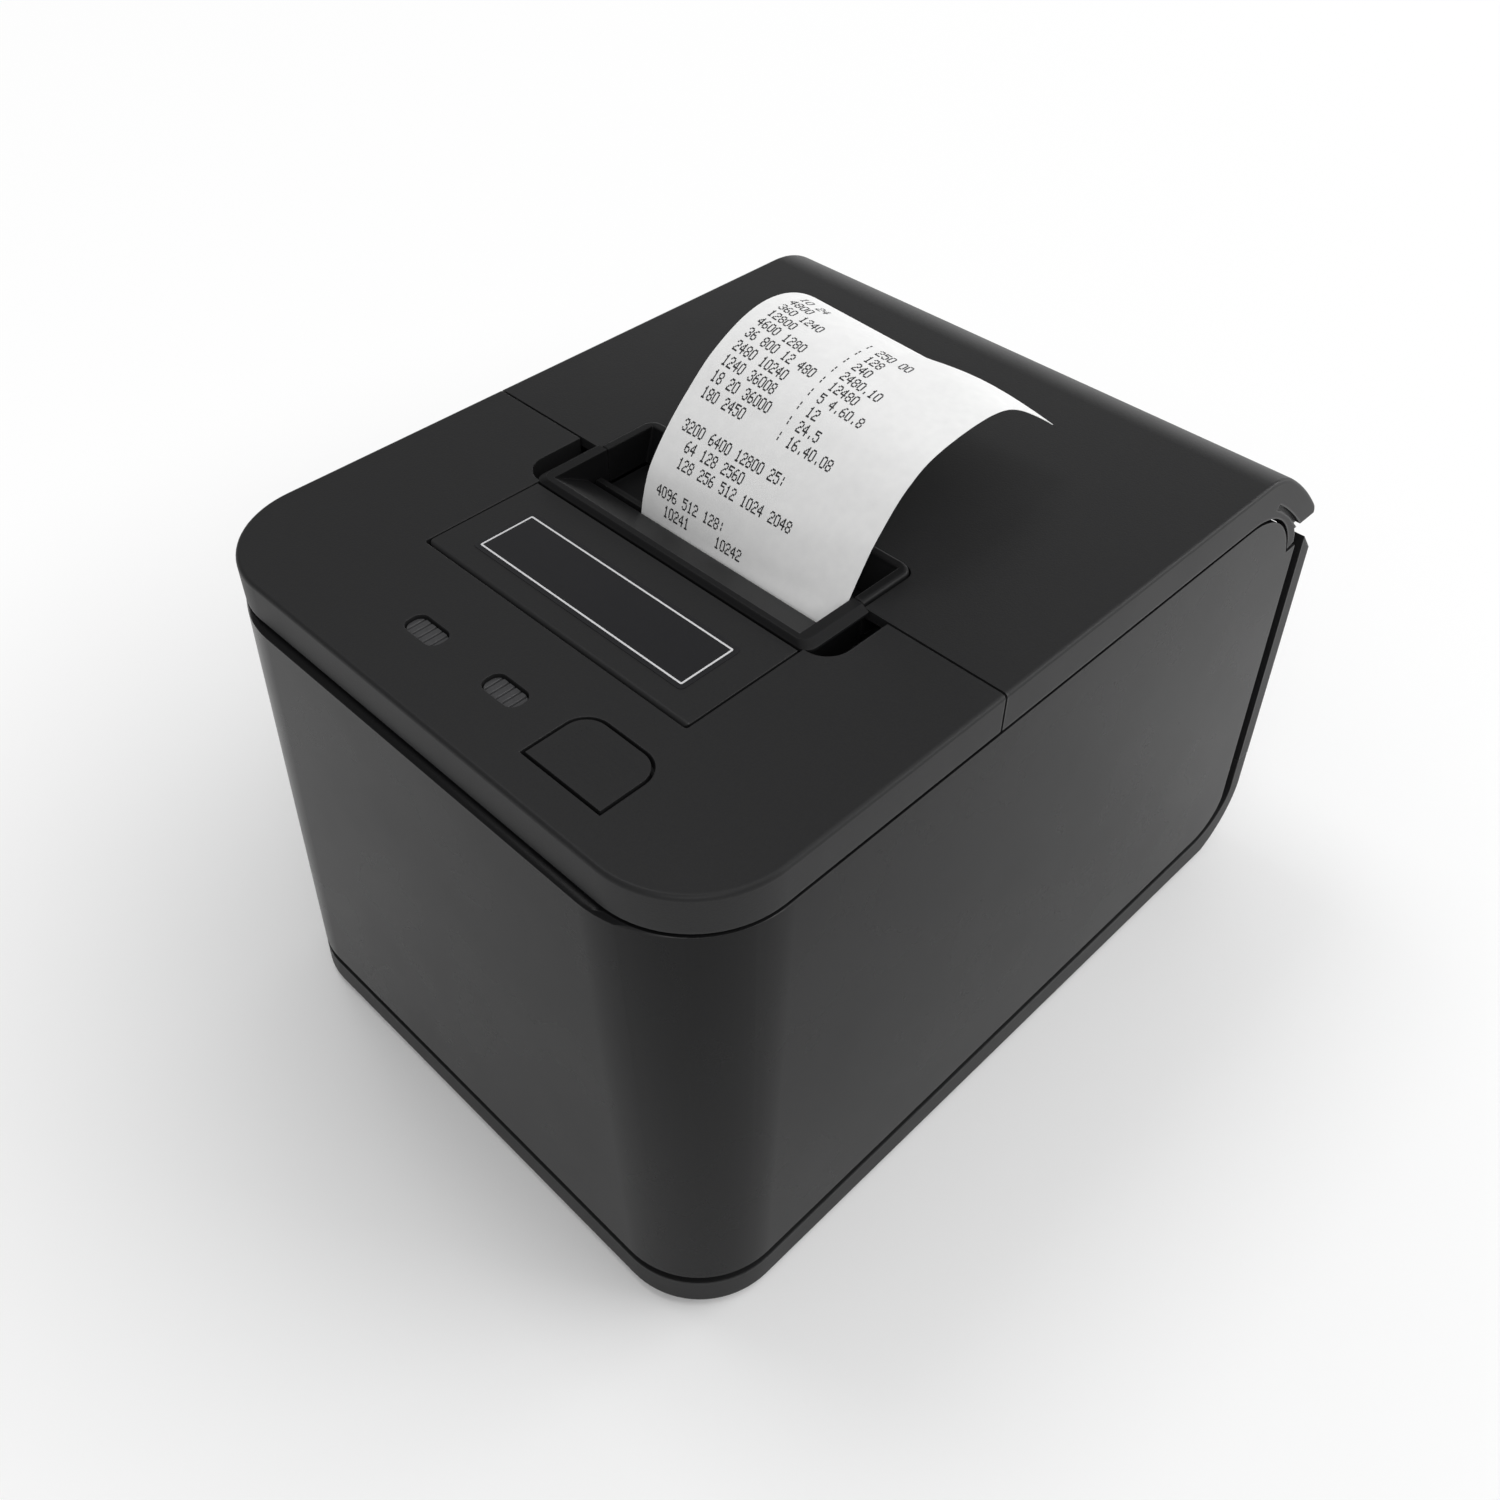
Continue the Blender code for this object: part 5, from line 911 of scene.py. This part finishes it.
def make_label():
    """A blank label on the flap with a plain pale outline."""
    centre = (0.0, CAP_FRONT + LABEL_Y)
    top = TOP + LABEL_THICK
    field = prism("label", "Z", rounded(centre, LABEL_SIZE, LABEL_CORNER), TOP + LAYER, top)
    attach(dress(field, LABEL), "flap")
    size = grown(LABEL_SIZE, -LABEL_MARGIN)
    edge = rounded(centre, size, BAND_CORNERS[0])
    outline = prism("label_outline", "Z", edge, top + LAYER, top + 4 * LAYER)
    inner = rounded(centre, grown(size, -LABEL_BAND), BAND_CORNERS[1])
    drill(outline, "Z", inner, TOP - FAR, TOP + FAR)
    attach(dress(outline, LABEL_LINE), "flap")


def vee(middle, top, rise, depth):
    """Outline of a groove between ribs."""
    return [(middle - VEE, top + rise), (middle, top - depth), (middle + VEE, top + rise)]


def make_button():
    """Feed button with fine ribs across its face."""
    flange_top = UNDER - FIT
    button = prism("button", "Z", button_outline(0), flange_top - FLANGE_THICK / 2, TOP)
    join(button, prism("flange", "Z", button_outline(BUTTON_FLANGE), flange_top - FLANGE_THICK, flange_top))
    first = BUTTON_Y - BUTTON_SIZE[1] / 2 + BUTTON_MARGIN
    for i in range(BUTTON_RIBS):
        groove = vee(first + i * BUTTON_PITCH, TOP, 0.0001, 0.00008)
        drill(button, "X", groove, *about(BUTTON_X, BUTTON_RIB))
    place(soften(button, 0.0004, 3, 50), "feed_button", MATT)


def make_lenses():
    """Smoked windows with ribs across them."""
    y = CAP_FRONT + LIGHT_Y
    top = TOP - LENS_DROP
    for node, x in zip(("power_lens", "error_lens"), LIGHT_X):
        outline = rounded((x, y), grown(LIGHT_SIZE, -FIT), LIGHT_RADIUS - FIT)
        lens = prism("window_" + node.split("_")[0], "Z", outline, top - LENS_THICK, top)
        for middle in row(x, LENS_RIBS, LENS_PITCH):
            drill(lens, "Y", vee(middle, top, 0.0003, 0.0005), *about(y, LIGHT_SIZE[0]))
        place(soften(lens, 0.00012, 2, 50), node, LENS)


def slot_ring(reach, front, back, radii, z):
    return stand("Z", rounded((0, (front + back) / 2), (2 * reach, back - front), radii, 8), z)


def make_lip():
    """Front half of the slot: a bar that slopes to the tear edge, between rims that fall outwards."""
    low = LIP_LOW + FIT
    front = FLAP_REAR + FIT
    back = COVER_SEAM - FIT / 2
    outer = SLOT_HALF - FIT
    corners = (0, 0, LIP_CORNER, LIP_CORNER)
    rings = [slot_ring(outer, front, back, corners, z) for z in (low, TOP - FLANK_FALL)]
    rings += [slot_ring(outer + LIP_FLANK, front, back, corners, TOP + z) for z in (-FLANK_FALL, 0)]
    rings.append(slot_ring(outer, front + LIP_ROUND, back, corners, TOP + RIM_RISE))
    lip = loft("lip", rings)
    rise = TOP - TEAR_DEPTH - PATH[1]
    tear = CAP_FRONT + PATH[0] + rise * math.tan(math.radians(PATH_LEAN)) - TEAR_GAP
    tear_top = TOP - TEAR_DROP
    foot = tear - LIP_BAR
    crest = front + LIP_BAR
    well = [(crest, TOP + RIM_RISE), (tear, tear_top), (tear, tear_top - LIP_BAR / 2), (foot, low)]
    well += [(foot, low - FAR), (back + FAR, low - FAR), (back + FAR, TOP + FAR), (crest, TOP + FAR)]
    drill(lip, "X", well, -outer + SLOT_RIM, outer - SLOT_RIM)
    place(soften(lip, 0.0003, 3, 25), "slot_lip", SLOT)


def make_slot_frame():
    """Rear half of the slot on the cover: a back wall and two rims that meet in round corners."""
    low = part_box("slot_frame")[0].z
    front = COVER_SEAM + FIT / 2
    rear = CAP_FRONT + SLOT_BACK - FIT
    outer = SLOT_HALF - FIT
    corners = (SLOT_CORNER, SLOT_CORNER, 0, 0)
    rings = [slot_ring(outer, front, rear, corners, z) for z in (low, TOP + RIM_RISE / 2)]
    rings.append(slot_ring(outer - RIM_RISE / 2, front, rear - RIM_RISE / 2, corners, TOP + RIM_RISE))
    piece = loft("slot_back", rings)
    wall = [(rear - 2 * SLOT_RIM, low - FAR), (rear - 2 * SLOT_RIM, low), (rear - SLOT_RIM, TOP)]
    wall += [(rear - SLOT_RIM, TOP + FAR), (front - FAR, TOP + FAR), (front - FAR, low - FAR)]
    drill(piece, "X", wall, -outer + SLOT_RIM, outer - SLOT_RIM)
    place(soften(piece, 0.0004), "slot_frame", SLOT)


# Paper strip

def blend(a, b, share):
    return tuple((1 - share) * p + share * q for p, q in zip(a, b))


def smooth_line(points, steps):
    """A smooth curve through points, with fine steps between each two."""
    line = [points[0]]
    for i in range(len(points) - 1):
        before, a, b = points[max(i - 1, 0)], points[i], points[i + 1]
        after = points[min(i + 2, len(points) - 1)]
        for k in range(1, steps + 1):
            t = k / steps
            line.append(tuple(
                0.5 * (2 * q + (r - p) * t + (2 * p - 5 * q + 4 * r - s) * t ** 2
                       + (3 * q - p - 3 * r + s) * t ** 3)
                for p, q, r, s in zip(before, a, b, after)))
    return line


def strip_edges():
    edges = []
    for edge in (STRIP_LEFT, STRIP_RIGHT):
        points = [STRIP_START, STRIP_RISE] + [(STRIP_RISE[0] + y, STRIP_RISE[1] + z) for y, z in edge]
        edges.append(smooth_line(points, STRIP_STEPS))
    return edges


def strip_line(left, right, share):
    """One line along the strip: creased low down, its free end lifted a little near the right edge."""
    line = []
    last = len(left) - 1
    across = max(0.0, (share - LIFT_FROM[0]) / (1 - LIFT_FROM[0]))
    for i, (a, b) in enumerate(zip(left, right)):
        y, z = blend(a, b, share)
        off = i - CREASE_AT[0] - share * (CREASE_AT[1] - CREASE_AT[0])
        reach = CREASE_BELOW if off < 0 else CREASE_ABOVE
        fold = CREASE * max(0.0, 1 - math.hypot(off, CREASE_ROUND) / reach)
        along = min(1.0, max(0.0, (i / last - LIFT_FROM[1]) / LIFT_RAMP))
        lift = END_LIFT * math.sin(math.pi * across) * along * along * (3 - 2 * along)
        line.append((y - fold, z + lift + CREASE_RISE * fold))
    return line


def thicken(line, thickness):
    """A closed outline half the thickness to each side of an open line."""
    sides = ([], [])
    for i, (y, z) in enumerate(line):
        before = line[max(i - 1, 0)]
        after = line[min(i + 1, len(line) - 1)]
        reach = math.dist(before, after)
        across = ((before[1] - after[1]) / reach, (after[0] - before[0]) / reach)
        for side, sign in zip(sides, (0.5, -0.5)):
            side.append((y + sign * thickness * across[0], z + sign * thickness * across[1]))
    return sides[0] + sides[1][::-1]


def make_strip():
    left, right = strip_edges()
    rings = []
    for i in range(STRIP_RINGS + 1):
        share = i / STRIP_RINGS
        line = strip_line(left, right, share)
        rings.append(stand("X", thicken(line, STRIP_THICK), PAPER_LEFT + share * PAPER_WIDTH))
    strip = loft("strip", rings)
    strip.data.shade_smooth()
    strip.data.set_sharp_from_angle(angle=math.radians(40))
    place(strip, "receipt", PAPER)


def dot_runs(bits):
    """First and last edge of each run of inked dots in a row of a figure."""
    start = None
    for column in range(DOTS[0] + 1):
        inked = column < DOTS[0] and bits >> (DOTS[0] - 1 - column) & 1
        if inked and start is None:
            start = column
        if not inked and start is not None:
            yield start, column
            start = None


def make_print():
    """Rows of plain numbers on the strip, built from dot-matrix figures laid on its curve."""
    left, right = strip_edges()
    middle = [blend(a, b, 0.5) for a, b in zip(left, right)]
    along = [0.0]
    for a, b in zip(middle, middle[1:]):
        along.append(along[-1] + math.dist(a, b))
    lines = [strip_line(left, right, ring / STRIP_RINGS) for ring in range(STRIP_RINGS + 1)]

    def on_strip(across, length):
        i = max(k for k in range(len(along) - 1) if along[k] <= length)
        step = (length - along[i]) / (along[i + 1] - along[i])
        ring = int(across / PAPER_WIDTH * STRIP_RINGS)
        share = across / PAPER_WIDTH * STRIP_RINGS - ring
        low = blend(lines[ring][i], lines[ring + 1][i], share)
        high = blend(lines[ring][i + 1], lines[ring + 1][i + 1], share)
        reach = math.dist(low, high)
        out = ((low[1] - high[1]) / reach, (high[0] - low[0]) / reach)
        y, z = blend(low, high, step)
        lift = STRIP_THICK / 2 + INK_LIFT
        return PAPER_LEFT + across, y + lift * out[0], z + lift * out[1]

    shape = bmesh.new()
    dot = [CELL[i] * DOT_FILL[i] / DOTS[i] for i in (0, 1)]
    for number, figures in enumerate(ROWS):
        for column, figure in enumerate(figures):
            x = MARGIN + column * CELL[0]
            for level, bits in enumerate(FIGURES.get(figure, ())):
                top = ROW_START + number * ROW_PITCH + CELL[1] / 2 - level * dot[1]
                for start, end in dot_runs(bits):
                    ends = (x + start * dot[0] - SPREAD, x + end * dot[0] + SPREAD)
                    corners = corners_of(ends, (top - dot[1], top))
                    shape.faces.new([shape.verts.new(on_strip(*corner)) for corner in corners])
    marks = new_piece("printed_rows", shape)
    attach(dress(marks, INK), "cover")


# Roll, fasteners and electrical fittings

def turned(name, axis, centre, profile, sides=40):
    """A round solid from a row of radius and place along its axis."""
    return loft(name, [stand(axis, circle(centre, radius, sides), along) for radius, along in profile])


def make_roll():
    """The wound roll, finely round and a little rubbed along its ends."""
    low, high, (_, *axis) = box_of("paper_roll")
    roll = rod("wound_roll", "X", axis, (high.y - low.y) / 2, low.x, high.x, 128)
    cut(roll, rod("bore", "X", axis, CORE_RADIUS + FIT, low.x - FAR, high.x + FAR, 64))
    place(soften(roll, 0.0004, 2), "paper_roll", ROLL)


def make_screws():
    """Pan-head screws with a cross recess, heads down."""
    for node in [name for name in NODES if "_screw_" in name]:
        low, high, (x, y, _) = box_of(node)
        head = [(radius, low.z + rise) for radius, rise in SCREW_HEAD]
        screw = turned("cross_" + node, "Z", (x, y), head + [(SCREW_RADIUS, high.z)])
        for wide, deep in ((SCREW_SLOT, SCREW_ARM), (SCREW_ARM, SCREW_SLOT)):
            cut(screw, box("arm", about(x, wide), about(y, deep), (low.z - FAR, low.z + SCREW_SLOT / 2)))
        place(soften(screw, 0.0001, 2), node, STEEL)


def make_feet():
    """Rubber feet with a rounded tread and a shallow dish under each."""
    radius = FOOT_TREAD[-1][0]
    for node in [name for name in NODES if name.startswith("foot_")]:
        low, high, (x, y, _) = box_of(node)
        foot = turned("round_" + node, "Z", (x, y), [*FOOT_TREAD, (radius, high.z)])
        cut(foot, rod("dish", "Z", (x, y), radius / 2, low.z - FAR, low.z + FOOT_TREAD[1][1] * 3))
        place(soften(foot, 0.0002, 2), node, RUBBER)


def add_block(shape, x, y, z):
    """Adds a plain block to a mesh that is being built."""
    corners = [shape.verts.new((*corner, level)) for level in z for corner in corners_of(x, y)]
    for face in ((3, 2, 1, 0), (4, 5, 6, 7), (0, 1, 5, 4), (1, 2, 6, 5), (2, 3, 7, 6), (3, 0, 4, 7)):
        shape.faces.new([corners[i] for i in face])


def make_board_parts():
    """Chips with their legs, capacitors and wire sockets on the face of the control board."""
    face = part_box("control_board")[0].y
    bodies, legs, plugs = bmesh.new(), bmesh.new(), bmesh.new()
    for x, z, wide, tall in CHIPS:
        add_block(bodies, about(x, wide / 2), [face - depth for depth in CHIP_SPAN], about(z, tall / 2))
        for middle in row(x, int(wide / LEG_ROOM), LEG_PITCH):
            for side in (-1, 1):
                ends = sorted((z + side * tall / 2, z + side * (tall / 2 + LEG_REACH)))
                add_block(legs, about(middle, LEG_HALF), (face - LEG_RISE, face), ends)
    for x, z, wide in PLUGS:
        add_block(plugs, about(x, wide / 2), (face - PLUG_RISE, face), about(z, PLUG_HALF))
        for middle in row(x, int(wide / PLUG_PITCH), PLUG_PITCH):
            depths = [face - depth for depth in PIN_SPAN]
            add_block(legs, about(middle, PLUG_PIN[0]), depths, about(z, PLUG_PIN[1]))
    named = (("chips", bodies, RESIN), ("leads", legs, STEEL), ("wire_sockets", plugs, WHITE))
    for name, shape, look in named:
        piece = soften(new_piece(name, shape), 0.0001, 2)
        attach(dress(piece, look), "casing")
    cans = None
    for x, z, radius, length in CANS:
        profile = [(share * radius, face - depth) for share, depth in CAN_FOOT]
        profile += [(radius, face - length + CAN_TOP[1]), (CAN_TOP[0] * radius, face - length)]
        can = turned("capacitors", "Y", (x, z), profile)
        cans = join(cans, can) if cans else can
    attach(dress(soften(cans, 0.0001, 2), ALUMINIUM), "casing")


def make_contacts():
    """The inlet's pin, the data socket's tongue and the drawer socket's wires."""
    low, high, (x, _, z) = box_of("power_inlet")
    deep = low.y + CONTACT_BACK
    tip = [(radius, high.y - end) for radius, end in INLET_PIN]
    pin = turned("inlet_pin", "Y", (x, z), [(INLET_PIN[0][0], deep), *tip], 24)
    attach(dress(soften(pin, 0.0001, 2), STEEL), "casing")
    low, high, (x, _, z) = box_of("data_socket")
    tongue = prism("data_tongue", "Y", rounded((x, z), TONGUE, TONGUE_CORNER), deep, high.y - TONGUE_END)
    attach(dress(soften(tongue, 0.0002, 2), WHITE), "casing")
    wires = bmesh.new()
    for side in (-1, 1):
        for lane in PLATE_LANES:
            plate = sorted(z + side * rise for rise in PLATE_SPAN)
            add_block(wires, about(x + lane, PLATE_HALF), (deep, high.y - PLATE_END), plate)
    low, high, (x, _, z) = box_of("drawer_socket")
    for lane in row(x, WIRES, WIRE_PITCH):
        add_block(wires, about(lane, WIRE_HALF), (deep, high.y - WIRE_END), [z + rise for rise in WIRE_SPAN])
    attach(dress(soften(new_piece("contact_wires", wires), 0.00006, 1), BRASS), "casing")


def make_rocker_marks():
    """A plain bar and ring on the two slopes of the rocker."""
    x, _, z = box_of("power_rocker")[2]
    shape = bmesh.new()

    def on_slope(across, up):
        return shape.verts.new((x + across, ROCKER_SADDLE + ROCKER_SLOPE * abs(up) + MARK_LIFT, z + up))

    wide, tall = MARK_BAR
    bar = ((wide, -tall), (-wide, -tall), (-wide, tall), (wide, tall))
    shape.faces.new([on_slope(across, ROCKER_MARK + up) for across, up in bar])
    rings = [circle((0.0, -ROCKER_MARK), radius, MARK_STEPS) for radius in MARK_RING]
    inner, outer = [[on_slope(*point) for point in ring] for ring in rings]
    for i in range(MARK_STEPS):
        j = (i + 1) % MARK_STEPS
        shape.faces.new((inner[i], inner[j], outer[j], outer[i]))
    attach(dress(new_piece("rocker_marks", shape), LABEL_LINE), "rocker")


def dress_nodes():
    """Gives every node that is shown as it is a look by its material slot."""
    for name, piece in NODES.items():
        if not piece.hide_render:
            dress(piece, SLOT_LOOKS[MATERIAL_SLOTS[name]])


# Stage, camera and light

def make_stage():
    """A wide pale floor: it takes the shadow near the printer, and shows as plain white further off."""
    shape = bmesh.new()
    reach = (-FLOOR_REACH, FLOOR_REACH)
    shape.faces.new([shape.verts.new((x, y, 0.0)) for x, y in corners_of(reach, reach)])
    floor = new_piece("floor", shape)
    material, tree, shader = new_material("pale_floor")
    fill(tree, shader, {"Base Color": (0.94, 0.94, 0.94, 1.0), "Roughness": 0.7, "Specular IOR Level": 0.2})
    rays = add_node(tree, "LightPath").outputs
    seen = add_node(tree, "Math", {0: rays["Is Camera Ray"], 1: rays["Is Glossy Ray"]}, "ADD")
    clear = add_node(tree, "Math", {0: seen.outputs["Value"], 1: rays["Is Transmission Ray"]}, "ADD")
    clear.use_clamp = True
    distance = add_node(tree, "VectorMath", {0: object_space(tree)}, "LENGTH").outputs["Value"]
    fade = add_node(tree, "MapRange", {"Value": distance, "From Min": 0.10, "From Max": 0.34, "To Max": 0.95})
    fade.interpolation_type = "SMOOTHSTEP"
    share = add_node(tree, "Math", {0: clear.outputs["Value"], 1: fade.outputs["Result"]}, "MULTIPLY")
    white = add_node(tree, "Emission", {"Color": (1.0, 1.0, 1.0, 1.0)})
    mixed = add_node(tree, "MixShader", {"Fac": share.outputs["Value"], 1: shader.outputs["BSDF"]})
    fill(tree, mixed, {2: white.outputs["Emission"]})
    fill(tree, tree.nodes["Material Output"], {"Surface": mixed.outputs["Shader"]})
    floor.data.materials.append(material)


def make_camera():
    lens = bpy.data.cameras.new("camera")
    lens.sensor_width = 36.0
    lens.lens = 36.316
    lens.shift_x = 0.00663
    lens.shift_y = -0.04237
    lens.clip_start = 0.01
    camera = bpy.data.objects.new("camera", lens)
    camera.location = (0.1872, -0.20225, 0.3295)
    camera.rotation_euler = (math.radians(90 - 42.697), 0.0, math.radians(45.017))
    bpy.context.scene.collection.objects.link(camera)
    bpy.context.scene.camera = camera


def add_area(name, location, target, size, energy):
    lamp = bpy.data.lights.new(name, "AREA")
    lamp.shape = "RECTANGLE"
    lamp.size, lamp.size_y = size
    lamp.energy = energy
    holder = bpy.data.objects.new(name, lamp)
    holder.location = location
    direction = Vector(target) - Vector(location)
    holder.rotation_euler = direction.to_track_quat("-Z", "Y").to_euler()
    bpy.context.scene.collection.objects.link(holder)


def make_light():
    add_area("overhead", (0.45, 0.45, 1.5), (0.1, 0.1, 0.0), (1.2, 1.2), 6.2)
    add_area("left_key", (-0.55, -0.05, 1.5), (0.0, 0.05, 0.1), (0.5, 0.5), 4.2)
    add_area("front_fill", (0.8, -0.85, 1.1), (0.08, 0.0, 0.08), (1.0, 1.0), 6.8)
    add_area("rear_right", (1.0, 0.9, 0.6), (0.05, 0.05, 0.08), (0.8, 0.6), 6.5)
    add_area("rear_glow", (-0.55, 1.0, 0.22), (0.0, 0.1, 0.12), (1.2, 0.35), 1.9)
    add_area("rear_spot", (0.42, 1.15, 0.42), (0.07, 0.08, 0.12), (0.35, 0.25), 1.8)
    world = bpy.data.worlds.new("studio")
    world.use_nodes = True
    background = world.node_tree.nodes["Background"]
    background.inputs["Color"].default_value = (1.0, 1.0, 1.0, 1.0)
    background.inputs["Strength"].default_value = 0.32
    bpy.context.scene.world = world
    bpy.context.scene.view_settings.view_transform = "Standard"


make_camera()
make_base()
make_body()
make_panel()
make_cover()
make_rear_panel()
make_flap()
make_label()
make_button()
make_lenses()
make_lip()
make_slot_frame()
make_strip()
make_print()
make_roll()
make_screws()
make_feet()
make_board_parts()
make_contacts()
make_rocker_marks()
dress_nodes()
make_stage()
make_light()

bpy.context.view_layer.update()
